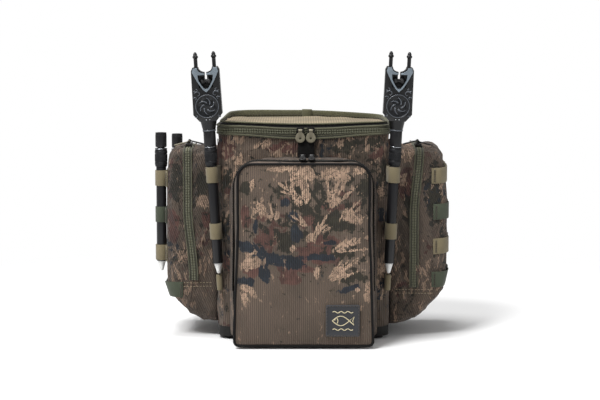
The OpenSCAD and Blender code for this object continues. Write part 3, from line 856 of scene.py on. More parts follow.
def corner_seams():
    """Raised seams down the four corners of the body."""
    pieces = []
    for sx in (-1, 1):
        for sy in (-1, 1):
            x, y = sx * (HALF_W - 0.2 * MM), sy * (HALF_D - CORNER_R)
            frames = []
            for i in range(41):
                t = i / 40
                z = BODY_LO.z + 2 * MM + (BODY_HI.z - BODY_LO.z - 6 * MM) * t
                wave = 0.8 * MM * noise.noise(Vector((sx * 3.0, sy * 5.0, z * 30)))
                frames.append((Vector((x, y + wave, z)), Vector((sx, 0, 0)), Vector((0, 1, 0))))
            pieces.append(sweep("seam", frames, oval_profile(1.6 * MM, 3.0 * MM, 8), "body"))
    attach(merge("corner_seams", pieces), "pack")


def zip_line(side_end, step_sides=22):
    """The main zip's U seen from above: from the rear of the left wall, round the front, to the rear of the
    right wall, as (x, y, outward x, outward y)."""
    r = CORNER_R
    line = []
    for i in range(step_sides + 1):
        line.append((-HALF_W, side_end + (-HALF_D + r - side_end) * i / step_sides, -1.0, 0.0))
    for i in range(1, 13):
        a = math.radians(180 + 90 * i / 12)
        line.append((-HALF_W + r + r * math.cos(a), -HALF_D + r + r * math.sin(a), math.cos(a), math.sin(a)))
    width = 2 * (HALF_W - r)
    for i in range(1, 37):
        line.append((-HALF_W + r + width * i / 36, -HALF_D, 0.0, -1.0))
    for i in range(1, 13):
        a = math.radians(270 + 90 * i / 12)
        line.append((HALF_W - r + r * math.cos(a), -HALF_D + r + r * math.sin(a), math.cos(a), math.sin(a)))
    for i in range(1, step_sides + 1):
        line.append((HALF_W, -HALF_D + r + (side_end + HALF_D - r) * i / step_sides, 1.0, 0.0))
    return line


def zip_path(side_end, low, low_sag, high=None, high_sag=0.0, out=0.0):
    """Frames along the main zip. With one level they follow it; with two they run midway, and their upright
    direction is as long as the gap. Levels are heights at the corners, sags are depths in the middle of the
    front."""
    frames = []
    for x, y, nx, ny in zip_line(side_end):
        ripple = 0.5 * MM * noise.noise(Vector((x * 22, y * 22, 4.0)))
        bottom = low + front_sag(x, low_sag) * sag_share(y)
        top = bottom if high is None else high + front_sag(x, high_sag) * sag_share(y)
        normal = Vector((nx, ny, 0))
        up = Vector((0, 0, 1)) if high is None else Vector((0, 0, top - bottom))
        frames.append((Vector((x, y, (bottom + top) / 2 + ripple)) + normal * out, normal, up))
    return frames


def tape_profile(thickness):
    """A tape's section whose width is the frames' upright direction, standing out a little in its middle."""
    half = thickness / 2
    return [(-half, -0.5), (half, -0.5), (half * 1.5, -0.2), (half * 1.5, 0.2), (half, 0.5), (-half, 0.5)]


def main_zip():
    """Both halves of the main zip: the lower rides on the pack, the upper on the lid. Each has a tape, a
    thick cord along its far edge, a thin ridge and its row of teeth."""
    end = HALF_D - 8 * MM
    mid_sag = 3.0 * MM
    for half, body, sign, cord_z, cord_sag, tape_z, ridge_z in (
        ("lower", "pack", -1, ZIP_Z - 5.2 * MM, 7.8 * MM, ZIP_Z - 2 * MM, ZIP_Z - 3 * MM),
        ("upper", "lid", 1, ZIP_Z + 7.2 * MM, 5.0 * MM, ZIP_Z + 2 * MM, ZIP_Z + 4.4 * MM),
    ):
        low, high = sorted([(cord_z, cord_sag), (tape_z, mid_sag)])
        cord = zip_path(end, cord_z, cord_sag, out=0.7 * MM)
        ridge = zip_path(end, ridge_z, (cord_sag + mid_sag) / 2, out=0.5 * MM)
        pieces = [
            sweep("tape", zip_path(end, *low, *high, -0.4 * MM), tape_profile(1.4 * MM), "tape"),
            sweep("cord", cord, oval_profile(3.0 * MM, 3.2 * MM, 10, 0.9), "cord"),
            sweep("ridge", ridge, oval_profile(1.0 * MM, 1.2 * MM, 8), "cord"),
            zip_teeth("teeth", zip_path(end, ZIP_Z, mid_sag), sign * TEETH_OFF),
        ]
        attach(slump(merge("main_zip_" + half, pieces)), body, (half + "_zip_tape",))


def rear_hinge():
    """The fabric round the rear edge that joins the lid to the rear wall."""
    r = CORNER_R - 1.5 * MM
    half = HALF_W - CORNER_R
    line = []
    for i in range(9):
        line.append((-half, math.radians(180 - 90 * i / 8)))
    for i in range(1, 40):
        line.append((-half + 2 * half * i / 40, math.radians(90)))
    for i in range(9):
        line.append((half, math.radians(90 - 90 * i / 8)))
    frames = []
    for x, turn in line:
        out = Vector((math.cos(turn), math.sin(turn), 0))
        frames.append((Vector((x, HALF_D - CORNER_R, 0)) + out * r, out, Vector((0, 0, 1))))
    low, high = BODY_HI.z - 3 * MM, ZIP_Z + 8 * MM
    section = [(0.9 * MM, low + (high - low) * i / 10) for i in range(11)]
    section += [(-0.9 * MM, z) for _, z in reversed(section)]
    piece = paint(sweep("rear_hinge_fabric", frames, section, "body"), BODY_PRINT, 0.42, 2.0)
    cloth_map(piece.data)
    slump(piece)
    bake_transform(piece)


def tab_shadow_patch():
    """A black patch under the main pull tabs, shaped as a flap: painted shadow of the tabs."""
    middle = (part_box("main_slider_a")[0].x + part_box("main_slider_b")[1].x) / 2 + 1 * MM
    low, high = FRONT_HI.z + 2 * MM, BODY_HI.z - 4 * MM
    frames = []
    for i in range(13):
        t = i / 12
        stand = 2.8 * MM + 0.8 * MM * math.sin(math.pi * t)
        frames.append((Vector((middle, -HALF_D - stand, low + (high - low) * t)),
                       Vector((0, -1, 0)), Vector((1, 0, 0))))
    # the black piping colour of this patch is painted shadow under the pull tabs
    piece = sweep("tab_shadow_patch", frames, flat_profile(1.4 * MM, 26 * MM), "piping")
    attach(piece, "pack")


def floor_lining():
    """The padded floor inside the main compartment."""
    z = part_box("moulded_base")[0].z + 10 * MM
    rings = []
    for k in range(9):
        shrink = 0.02 + 0.98 * (1 - k / 8)
        ring = []
        for x, y, _, _ in body_outline(5 * MM):
            ring.append(Vector((x * shrink, y * shrink, z + 2.5 * MM * (1 - shrink ** 2))))
        rings.append(ring)
    piece = loft("floor_lining", rings, "lining", fill_last=True)
    attach(thicken(piece, 1.5 * MM), "pack")


# ---------------------------------------------------------------- lid

LID_FRONT_Z = ZIP_Z + 13 * MM
RIM_REAR = 10 * MM


def lid_outline(inset):
    """The lid's outline seen from above; its rear left corner is the roundest."""
    return outline(-HALF_W + inset, HALF_W - inset, -HALF_D + inset, HALF_D - inset,
                   (24 * MM, 22 * MM, 24 * MM, 36 * MM), 10, 24)


def lid_edge_z(x, y):
    """Height of the lid panel's edge: it falls a little to the rear, and more at the rear right."""
    back = (y + HALF_D) / (2 * HALF_D)
    right = max(0.0, x / HALF_W)
    drop = 4.5 * MM * back + 6.0 * MM * back * right ** 1.5
    return LID_FRONT_Z - drop + front_sag(x, 3.6 * MM) * (1 - back) ** 2


def rim_height(x, y):
    """Height of the stiffened rim above the panel: nearly nothing at the front, full at the rear."""
    back = clamp((y + HALF_D - 10 * MM) / (1.85 * HALF_D))
    return 0.6 * MM + (RIM_REAR - 2.0 * MM * max(0.0, x / HALF_W)) * back


def lid_panel():
    """The tan top of the lid, crowned a little and creased behind its front edge."""
    rings = []
    for shrink in shrinking(30):
        crown = 1.2 * MM * (1 - shrink ** 2) ** 0.8
        rings.append([Vector((x * shrink, y * shrink, lid_edge_z(x * shrink, y * shrink) + crown))
                      for x, y, _, _ in lid_outline(7 * MM)])
    piece = loft("lid_panel_fabric", rings, "lid", fill_last=True, ribs_on_side="x")
    wrinkle(piece, 1.3 * MM, 7.7, 0.06, lambda co: 1.0 if co.y > -HALF_D + 12 * MM else 0.3)
    slump(thicken(piece, 3 * MM))
    attach(piece, "lid", ("lid_panel",))


def lid_gusset():
    """The strip between the zip band and the lid's top, black as painted shade under the lid's edge."""
    rings = []
    base = ZIP_Z + 6.4 * MM
    for k in range(7):
        t = k / 6
        ring = []
        for (x, y, nx, ny), (px, py, _, _) in zip(lid_outline(1.6 * MM), lid_outline(7 * MM)):
            top = lid_edge_z(px, py)
            low = base + front_sag(x, 5 * MM) * sag_share(y)
            bow = -1.5 * MM * math.sin(math.pi * t)
            across, along = x + (px - x) * t + nx * bow, y + (py - y) * t + ny * bow
            ring.append(Vector((across, along, low + (top - low) * t)))
        rings.append(ring)
    # the black piping colour of this strip is painted shade
    piece = loft("lid_gusset", rings, "piping")
    slump(thicken(piece, 1.5 * MM, "piping"))
    attach(piece, "lid")


def lid_rim():
    """The lid's bound rim with its stitching, and the sleeve where the binding's ends meet at the rear."""
    frames, heights = [], []
    for x, y, nx, ny in lid_outline(4.2 * MM):
        low = lid_edge_z(x, y) - 1.2 * MM
        tall = rim_height(x, y) + 1.6 * MM
        tall += 0.5 * MM * noise.noise(Vector((x * 18, y * 18, 1.0)))
        heights.append(tall)
        frames.append((Vector((x, y, low + tall / 2)), Vector((nx, ny, 0)), UP))
    last = len(frames) - 1

    def size(t):
        tall = heights[min(last, round(t * last))]
        return 2.0 * MM + 0.16 * tall, tall

    def off_join(i):
        spot = frames[i][0]
        return abs(spot.x - 8 * MM) + (0 if spot.y > 0 else 1)

    rim = sweep("rim", frames, oval_profile(1.0, 1.0, 14, 0.7), "binding", closed=True, size=size)
    index = min(range(len(frames)), key=off_join)
    sleeve = oval_profile(6.4 * MM, heights[index] + 2.6 * MM, 14, 0.5)
    join = sweep("join", frames[index - 1:index + 2], sleeve, "binding")
    path = [f[0] + f[1] * (-2.3 * MM) - f[2] * (h * 0.18) for f, h in zip(frames, heights)]
    thread = stitches("thread", path, [-f[1] for f in frames], "dark_thread")
    attach(slump(merge("lid_rim_binding", [rim, join, thread])), "lid", ("lid_rim",))


# ---------------------------------------------------------------- front pocket

FACE_W = 214 * MM
BASE_W = FRONT_HI.x - FRONT_LO.x
FACE_Y = FRONT_LO.y + 1.2 * MM
ZIP_SHARE = (HALF_D + FRONT_ZIP_Y) / (HALF_D + FACE_Y)   # depth share of the pocket's zip


def pocket_ring(depth, inset=0.0, top_drop=0.0):
    """The front pocket's outline at a depth share: 0 at the body, 1 at the face."""
    width = BASE_W + (FACE_W - BASE_W) * depth ** 0.8
    top_r = (66 - 44 * depth ** 0.6) * MM
    top = FRONT_HI.z + 3.5 * MM * (1 - depth) - top_drop
    low = FRONT_LO.z + 1.5 * MM
    half = width / 2 - inset
    keep = max(0.12, 1 - inset / (FACE_W / 2))
    radii = (7 * MM * keep, 7 * MM * keep, max(4 * MM, top_r - inset), max(4 * MM, top_r - inset))
    ring = []
    for x, z, nx, nz in outline(-half, half, low + inset, top - inset, radii, 10, 56):
        narrow = 1 - depth * (0.004 + 0.06 * min(1.0, 1.5 * (z - low) / (top - low)))
        soft = 0.9 * MM * depth * noise.noise(Vector((x * 12, 2.0, z * 18))) if z > low + 12 * MM else 0.0
        ring.append((x * narrow + nx * soft, z + nz * soft, nx, nz))
    return ring


def gusset_rings(start, end, count):
    """Rings of the pocket's sides between two depths, drawn in between their edges."""
    rings = []
    for k in range(count + 1):
        share = start + (end - start) * k / count
        pinch = math.sin(math.pi * min(1.0, share * 1.02))
        ring = []
        for x, z, nx, nz in pocket_ring(share):
            out = -1.6 * MM * pinch if nz < 0.5 else -2.8 * MM * pinch * (1 - (x / (FACE_W / 2)) ** 2)
            y = -HALF_D + (FACE_Y + HALF_D) * share
            ring.append(Vector((x + nx * out, y, max(z + nz * out, FRONT_LO.z + 1.2 * MM))))
        rings.append(ring)
    return rings


def face_rings():
    """Rings of the front face, from its piped edge to its middle; the face is crowned and a little saggy."""
    centre_z = (FRONT_LO.z + FRONT_HI.z) / 2
    rings = []
    for shrink in shrinking(58, 1):
        dome = 5.0 * MM * (1 - shrink ** 2.6)
        ring = []
        for x, z, _, _ in pocket_ring(1.0):
            weight = 1.0 + 0.25 * (centre_z - z) / (centre_z - FRONT_LO.z) * shrink
            ring.append(Vector((x * shrink, FACE_Y - dome * weight, centre_z + (z - centre_z) * shrink)))
        rings.append(ring)
    return rings


# Where the branches, leaves and shadows of the print lie on the front pocket.
FRONT_PRINT = patches(
    olive=[(25, 222, 84, 60, 0, 0.52), (-40, 190, 50, 44, 0, 0.46), (60, 140, 44, 40, 0, 0.46),
           (-34, 246, 11, 12), (67, 262, 8, 9), (93, 246, 9, 18), (43, 196, 30, 13), (-24, 168, 17, 15),
           (73, 112, 22, 9), (-88, 250, 8, 10), (20, 252, 5, 18, 8), (56, 152, 16, 7), (2, 222, 10, 14)],
    maroon=[(-30, 190, 60, 40, 0, 0.42), (30, 200, 60, 44, 0, 0.42), (-52, 172, 20, 17),
            (23, 148, 34, 16), (-20, 110, 15, 13), (-62, 203, 10, 6), (45, 220, 22, 6), (-90, 204, 8, 16),
            (-30, 232, 9, 8), (-14, 126, 34, 7, -6), (10, 200, 22, 9), (60, 240, 20, 6, 10),
            (-80, 120, 12, 18), (30, 168, 30, 8), (76, 222, 18, 5, 14)],
    tan=[(-2, 268, 22, 12), (49, 270, 26, 9), (83, 274, 11, 7), (-30, 278, 22, 4), (-66, 217, 9, 13, 5),
         (-16, 157, 4, 6), (-79, 255, 4, 10, -15), (20, 119, 5, 9, -20), (-84, 132, 11, 10, 30),
         (97, 92, 5, 12), (85, 92, 8, 3), (12, 173, 7, 7)],
    navy=[(-80, 155, 24, 10, -24), (-38, 138, 34, 10, -14), (27, 143, 28, 5, 2), (-60, 116, 8, 14, 10),
          (-88, 104, 13, 9), (-14, 178, 9, 13), (-74, 192, 4, 10), (70, 94, 20, 5, 8), (-16, 208, 10, 7),
          (40, 165, 9, 3), (-28, 228, 7, 6)],
)
for leaf in ((-2, 212, 62, 62, 125, 6, 2.6), (40, 216, 58, 35, 100, 6, 2.6), (52, 196, 50, 5, 62, 5, 2.4),
             (-46, 196, 34, 50, 130, 4, 2.4), (40, 150, 62, 2, 40, 5, 2.6), (34, 104, 66, 14, 58, 5, 2.6),
             (-100, 104, 44, -80, -22, 5, 2.4), (16, 176, 44, 20, 80, 4, 2.0),
             (-10, 236, 40, 100, 170, 4, 2.0), (92, 190, 34, 100, 160, 3, 2.2),
             (-92, 142, 26, -50, 40, 3, 2.2), (6, 190, 34, 120, 170, 3, 1.6)):
    FRONT_PRINT += frond("tan", *leaf)


def front_pocket():
    """The front pocket: its fixed rear part, its cover in front of the zip, which stays where it is built, the
    piping and the lining.
    """
    rear = loft("front_pocket_rear", gusset_rings(0.0, ZIP_SHARE, 6), "body", flip=True)
    wrinkle(rear, 1.4 * MM, 5.0, 0.035, lambda co: 1.0 if co.z > 10 * MM else 0.0)
    paint(rear, FRONT_PRINT, 0.3, 1.0)
    attach(thicken(rear, 2 * MM), "pack", ("front_pocket_tray",))

    sides = gusset_rings(ZIP_SHARE, 1.0, 12)
    front = loft("front_pocket_front", sides + face_rings(), "front", fill_last=True, flip=True)

    def keep(co):
        near_edge = abs(co.y - FACE_Y) < 1.5 * MM and co.y > FACE_Y - 0.5 * MM
        return 0.2 if near_edge else 1.0

    wrinkle(front, 1.6 * MM, 9.4, 0.06, keep)
    paint(front, FRONT_PRINT)
    thicken(front, 2 * MM)
    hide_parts("front_pocket_cover")
    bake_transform(front)

    frames = []
    for p, (_, _, nx, nz) in zip(sides[-1], pocket_ring(1.0)):
        out = Vector((nx, 0, nz))
        pos = p + out * (0.4 * MM) + FORWARD * (0.6 * MM)
        pos.z = max(pos.z, 2.2 * MM)
        frames.append((pos, out, FORWARD))
    piping = sweep("front_piping", frames, round_profile(1.9 * MM, 10), "piping", closed=True)
    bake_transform(piping)

    middle_z = (FRONT_LO.z + FRONT_HI.z) / 2
    back = [[Vector((x * shrink, -HALF_D - 2.2 * MM, middle_z + (z - middle_z) * shrink))
             for x, z, _, _ in pocket_ring(0.0, 4 * MM)] for shrink in shrinking(8)]
    lining = loft("front_pocket_lining", back, "lining", fill_last=True, flip=True)
    attach(thicken(lining, 1 * MM), "pack")


def front_zip_frames(out=0.0, shift=0.0):
    """The front pocket's zip: up the left gusset from the seam, over the top and down the right."""
    ring = gusset_rings(ZIP_SHARE, ZIP_SHARE + 0.01, 1)[0]
    points = []
    for p, (_, _, nx, nz) in zip(ring, pocket_ring(ZIP_SHARE)):
        if p.z > FRONT_SEAM.z or nz > 0.5:
            turn = math.atan2(p.z - 0.15, p.x)
            points.append((p.x < 0, turn if p.x >= 0 else turn % (2 * math.pi), p, Vector((nx, 0, nz))))
    points.sort(key=lambda q: q[:2])
    return [(p + n * out + Vector((0, shift, 0)), n, FORWARD) for _, _, p, n in points]


def front_zip():
    """Both halves of the front pocket's zip."""
    half = 4.6 * MM
    for part, body, sign in (("rear", "pack", 1), ("front", "front_cover", -1)):
        tape = front_zip_frames(0.5 * MM, sign * (half + 1 * MM))
        pieces = [
            sweep("tape", tape, flat_profile(1.2 * MM, 2 * half), "dark_tape"),
            zip_teeth("teeth", front_zip_frames(0.5 * MM), -sign * TEETH_OFF, "slider"),
        ]
        attach(merge("front_zip_" + part, pieces), body)


def badge():
    """A rubber patch with a plain fish between two wavy lines."""
    lo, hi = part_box("badge")
    mid, half = (lo + hi) / 2, (hi - lo) / 2
    front = FACE_Y - 5.2 * MM
    rings = []
    for inset, out in ((0, -2.0), (0, 1.2), (0.7, 1.9), (2.2, 1.9), (2.8, 1.2), (12, 1.2), (22, 1.2)):
        w, h = half.x - inset * MM, half.z - inset * MM
        r = max(0.4, 3.0 - inset * 0.5) * MM
        edge = outline(-w, w, -h, h, (r,) * 4, 4, 6)
        rings.append([Vector((mid.x + x, front - out * MM, mid.z + z)) for x, z, _, _ in edge])
    plate = outward(loft("plate", rings, "badge", fill_last=True, flip=True))

    def at(u, v, lift=1.3):
        return Vector((mid.x + u * half.x, front - lift * MM, mid.z + v * half.z))

    fish = [at(-0.62 + i / 24, 0.30 * math.sin(math.pi * i / 24)) for i in range(25)]
    fish += [at(0.38 - i / 24, -0.30 * math.sin(math.pi * (1 - i / 24))) for i in range(1, 25)]
    tail = [at(0.38, 0.0), at(0.66, 0.27), at(0.58, 0.0), at(0.66, -0.27), at(0.38, 0.0)]
    gill = [at(-0.34 + 0.05 * math.sin(math.pi * i / 8), -0.16 + 0.32 * i / 8) for i in range(9)]
    waves = []
    for v in (-0.55, 0.55):
        waves.append([at(-0.6 + 1.2 * i / 24, v + 0.05 * math.sin(2 * math.pi * i / 8)) for i in range(25)])
    pieces = [plate]
    for line in (fish, tail, gill, *waves):
        ahead = line[1:] + [line[-1] + (line[-1] - line[-2])]
        frames = [(p, FORWARD, (q - p).cross(FORWARD).normalized()) for p, q in zip(line, ahead)]
        pieces.append(sweep("line", frames, oval_profile(0.9 * MM, 1.3 * MM, 8), "emblem"))
    eye = [(at(-0.47, 0.07, 1.0 + 0.5 * i), RIGHT, UP) for i in range(3)]
    pieces.append(sweep("eye", eye, round_profile(1.0 * MM, 12), "emblem"))
    w, h = half.x - 1.5 * MM, half.z - 1.5 * MM
    rim = [Vector((mid.x + x, front - 2.0 * MM, mid.z + z)) for x, z, _, _ in
           outline(-w, w, -h, h, (2 * MM,) * 4, 4, 10)]
    pieces.append(stitches("thread", rim + rim[:1], [FORWARD] * (len(rim) + 1), "dark_thread"))
    attach(merge("badge_patch", pieces), "pack", ("badge",))


# ---------------------------------------------------------------- side pockets

class SidePocket:
    """The shape of one side pocket; side is -1 for left and 1 for right."""

    def __init__(self, name, side):
        self.name, self.side = name, side
        lo, hi = union_box(name + "_pocket_tray", name + "_pocket_cover")
        self.inner = min(abs(lo.x), abs(hi.x))
        self.outer = max(abs(lo.x), abs(hi.x))
        self.y0, self.y1, self.z0, self.z1 = lo.y, hi.y, lo.z, hi.z
        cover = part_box(name + "_pocket_cover")
        self.zip_x = min(abs(cover[0].x), abs(cover[1].x))
        self.seam = Vector(joint(name + "_cover_hinge")["pos_m"])
        self.low_r = (94 if side > 0 else 78) * MM
        self.z0 += (0 if side > 0 else 5) * MM
        self.top_r = 16 * MM
        self.edge_r = 13 * MM

    def lean_in(self, z):
        """How far the cloth at the zip hangs in towards the body: most low down."""
        high, low, depth = (300, 195, 8) if self.side > 0 else (210, 95, 9)
        t = clamp((high * MM - z) / ((high - low) * MM))
        ends = clamp((z - self.z0 - 12 * MM) / (50 * MM))
        return depth * MM * ease(t) * ends

    def bulge(self, y, z):
        """How far the front outer edge swells out past the sticks that press on the left pocket's side."""
        if self.side > 0:
            return 0.0
        up = math.sin(math.pi * clamp((z - self.z0) / (self.z1 - self.z0)))
        return 3.6 * MM * up ** 0.5 * math.exp(-((y - self.y0) / (20 * MM)) ** 2)

    def fold(self, co):
        """How far the cloth stands out at a point for its creases."""
        flat = 0.3 if abs(co.x) > self.outer - 2 * MM or abs(co.x) < self.inner + 12 * MM else 1.0
        return 3.6 * MM * flat * crease(co, 2.0 + self.side, 0.036, 0.6 * self.side)

    def taper(self, z):
        """How far the outer face hangs in at a height: the top of the right pocket most."""
        up = max(0.0, (z - 0.215) / 0.085)
        return (9 if self.side > 0 else 2) * MM * up ** 1.6

    def ring(self, x):
        """The outline in the upright plane at a distance x from the middle of the pack."""
        reach = clamp((x - (self.outer - self.low_r)) / self.low_r)
        low = self.z0 + self.low_r * fall(reach)
        over = clamp((x - (self.outer - self.top_r)) / self.top_r)
        top = self.z1 - self.top_r * fall(over)
        turn = clamp((x - (self.outer - self.edge_r)) / self.edge_r)
        inset = self.edge_r * fall(turn)
        start = clamp((self.inner + 8 * MM - x) / (8 * MM))
        inset += 5 * MM * start * start
        top -= 4 * MM * start * start
        return outline(self.y0 + inset, self.y1 - inset, low, top, (14 * MM,) * 4, 8, 36)

    def point(self, x, y, z, ny, nz):
        """A ring point with the soft swell and sag of a filled pocket."""
        across = math.sin(math.pi * clamp((x - self.inner) / (self.outer - self.inner)))
        up = max(0.0, math.sin(math.pi * (z - self.z0) / (self.z1 - self.z0)))
        back = clamp((y - self.y0) / (self.y1 - self.y0))
        out = 3.5 * MM * across * up if abs(ny) > 0.5 else 0.0
        high = max(0.0, (z - self.z0) / (self.z1 - self.z0) - 0.7) / 0.3
        sag = -(3 if self.side > 0 else 6) * MM * back * high
        seam = max(0.0, 1 - abs(x - self.zip_x) / (30 * MM))
        shift = -self.lean_in(z) * ease(seam)
        shift += (self.bulge(y, z) - self.taper(z)) * max(0.0, (x - self.zip_x) / (self.outer - self.zip_x))
        return Vector((self.side * (x + shift), y + ny * out, z + sag))

    def rings(self, start, end, count):
        result = []
        for k in range(count + 1):
            share = math.sin(math.pi / 2 * k / count)
            x = start + (end - start) * share
            result.append([self.point(x, y, z, ny, nz) for y, z, ny, nz in self.ring(x)])
        return result

    def face(self):
        """Rings that close the outer face, slightly crowned."""
        edge = self.rings(self.zip_x, self.outer, 1)[-1]
        middle = sum(edge, Vector()) / len(edge)
        result = []
        for k in range(1, 23):
            shrink = 1 - 0.97 * k / 22
            ring = []
            for p in edge:
                q = middle + (p - middle) * shrink
                crown = 1.2 * MM * (1 - shrink ** 2) + self.bulge(q.y, q.z) - self.taper(q.z)
                q.x = self.side * (self.outer + crown)
                ring.append(q)
            result.append(ring)
        return result


SIDE_PRINT = patches(
    tan=[(-158, 214, 8, 12, 15), (166, 292, 13, 9, 20), (158, 252, 6, 10), (-150, 262, 5, 8)],
    maroon=[(-152, 186, 10, 16), (160, 240, 12, 24), (-205, 180, 10, 30)],
    olive=[(-160, 240, 10, 20), (-200, 250, 12, 30), (-185, 130, 20, 12), (168, 200, 10, 24),
           (205, 225, 12, 40)],
)


def side_pocket(name, side):
    """One side pocket: its fixed inner part, its cover beyond the zip, which stays where it is built, and its
    lining and trim.
    """
    pocket = SidePocket(name, side)
    flip = side < 0
    halves = []
    for part, rings in (("inner", pocket.rings(pocket.inner, pocket.zip_x, 22)),
                        ("outer", pocket.rings(pocket.zip_x, pocket.outer, 26) + pocket.face())):
        piece = loft(f"{name}_pocket_{part}", rings, "side", fill_last=part == "outer", flip=flip)
        push(piece, pocket.fold)
        paint(piece, SIDE_PRINT, 0.4, 5.0)
        halves.append(thicken(piece, 2 * MM))
    tray, cover = halves
    attach(tray, "pack", (name + "_pocket_tray",))
    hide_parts(name + "_pocket_cover")
    x, z, reach = pocket.seam.x, pocket.seam.z, 10 * MM
    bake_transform(cover)

    x = side * (pocket.inner + 1.5 * MM)
    base = [Vector((x, y, z)) for y, z, _, _ in pocket.ring(pocket.inner + 1 * MM)]
    middle = sum(base, Vector()) / len(base)
    liner = [[middle + (p - middle) * shrink for p in base] for shrink in shrinking(8)]
    back = loft(name + "_pocket_lining", liner, "lining", fill_last=True, flip=flip)
    attach(thicken(back, 1.2 * MM), "pack")
    side_zip(pocket)
    side_webbing(pocket)
    seam_stitches(pocket)


def side_zip_frames(pocket, shift, out=0.6 * MM):
    """The side zip: up the front from the seam, over the top and down the rear."""
    x = pocket.zip_x
    points = []
    for y, z, ny, nz in pocket.ring(x):
        if z > pocket.seam.z and not nz < -0.5:
            points.append((pocket.point(x, y, z, ny, nz), Vector((0, ny, nz))))
    mid_y, mid_z = (pocket.y0 + pocket.y1) / 2, pocket.seam.z
    points.sort(key=lambda q: -math.atan2(q[0].z - mid_z, q[0].y - mid_y))
    across = Vector((pocket.side, 0, 0))
    return [(p + n * (out + pocket.fold(p)) + across * shift, n, across) for p, n in points]


def side_zip(pocket):
    """Both halves of a side pocket's zip."""
    half = 3.1 * MM
    for part, sign, body in (("inner", -1, "pack"), ("outer", 1, pocket.name + "_cover")):
        shift = sign * (half + 0.8 * MM)
        ridge = side_zip_frames(pocket, shift * 1.65, 1.2 * MM)
        pieces = [
            sweep("tape", side_zip_frames(pocket, shift), flat_profile(1.2 * MM, 2 * half), "tape"),
            sweep("ridge", ridge, oval_profile(2.6 * MM, 1.8 * MM, 8), "cord"),
            zip_teeth("teeth", side_zip_frames(pocket, 0.0), sign * TEETH_OFF),
        ]
        attach(merge(f"{pocket.name}_zip_{part}", pieces), body)


def web_path(pocket, z, from_front, lift, slant=0.0):
    """A webbing row: from the pocket's front face, round the outer edges, to its rear face. A negative
    from_front starts it part of the way round the front edge."""
    r, side = pocket.edge_r, pocket.side
    drop = max(0.0, pocket.z0 + pocket.low_r - z) / pocket.low_r
    outer = pocket.outer - pocket.low_r * fall(drop) - pocket.taper(z)
    lean = math.asin(min(0.9, drop))
    swell = 1.5 * MM * max(0.0, math.sin(math.pi * (z - pocket.z0) / (pocket.z1 - pocket.z0)))
    first = math.asin(min(1.0, -from_front / r)) if from_front < 0 else 0.0
    line = []
    if from_front > 0:
        for i in range(5):
            line.append((outer - r - from_front * (1 - i / 4), pocket.y0 - swell, 0, -1))
    for i in range(0 if from_front < 0 else 1, 9):
        a = first + (math.pi / 2 - first) * i / 8
        y = pocket.y0 + r - r * math.cos(a) - swell * math.cos(a) ** 2
        line.append((outer - r + r * math.sin(a), y, math.sin(a), -math.cos(a)))
    span = pocket.y1 - pocket.y0 - 2 * r
    for i in range(1, 33):
        t = i / 32
        slack = 1.3 * MM * abs(math.sin(4 * math.pi * t)) + 1.6 * MM * math.sin(math.pi * t)
        line.append((outer + slack, pocket.y0 + r + span * t, 1, 0))
    for i in range(1, 9):
        a = math.radians(90 * i / 8)
        line.append((outer - r + r * math.cos(a), pocket.y1 - r + r * math.sin(a), math.cos(a), math.sin(a)))
    for i in range(1, 5):
        line.append((outer - r - abs(from_front) * i / 4, pocket.y1 + swell, 0, 1))
    frames = []
    for x, y, nx, ny in line:
        rise = slant * clamp((x - outer + 20 * MM) / (20 * MM))
        share = abs(nx)
        x += share * pocket.bulge(y, z)
        tilt = lean * share
        fold = max(pocket.fold(Vector((side * x, y, z + k * WEB_W / 2))) for k in (-1, 0, 1))
        lifted = lift + max(-0.5 * MM, fold)
        frames.append((Vector((side * (x + nx * lifted), y + ny * lifted, z + rise)),
                       Vector((side * nx * math.cos(tilt), ny, -share * math.sin(tilt))).normalized(),
                       Vector((side * math.sin(tilt), 0, math.cos(tilt)))))
    return frames


def side_webbing(pocket):
    """The webbing rows, with a bar tack at each fixing. The left pocket's lowest row is fixed to the pack."""
    node = pocket.name + "_pocket_webbing"
    edges = sorted({round(v.co.z, 4) for v in frame["nodes"][node].data.vertices})
    rows = [(low + high) / 2 for low, high in zip(edges[0::2], edges[1::2])]
    left = pocket.name == "left"
    fixed_rows = []
    if left:
        fixed_rows.append(min(v.co.z for v in frame["nodes"]["pack_loops"].data.vertices) + WEB_W / 2)
    cover, fixed = [], []
    for k, z in enumerate(sorted(rows, reverse=True) + fixed_rows):
        target = fixed if z in fixed_rows else cover
        if left:
            path = web_path(pocket, z, 6 * MM if z in fixed_rows else -11 * MM, 1.4 * MM)
        else:
            path = web_path(pocket, z, 10 * MM, 1.4 * MM, 1.5 * MM)
        target.append(sweep("row", path, flat_profile(1.5 * MM, WEB_W), "green_web" if k % 2 else "tan_web"))
        for i in (2, 20, 28, 36, len(path) - 3):
            pos, out, up = path[i]
            along = up.cross(out)
            line = [pos + out * (1.0 * MM) + up * (WEB_W * (j / 6 - 0.5) * 0.86) for j in range(7)]
            for shift in (-0.7 * MM, 0.7 * MM):
                tack = [p + along * shift for p in line]
                target.append(stitches("tack", tack, [out] * 7, "dark_thread", 2.4 * MM, 0.5 * MM))
    attach(merge(pocket.name + "_web_rows", cover), pocket.name + "_cover", (node,))
    if fixed:
        attach(merge(pocket.name + "_web_low_row", fixed), "pack")


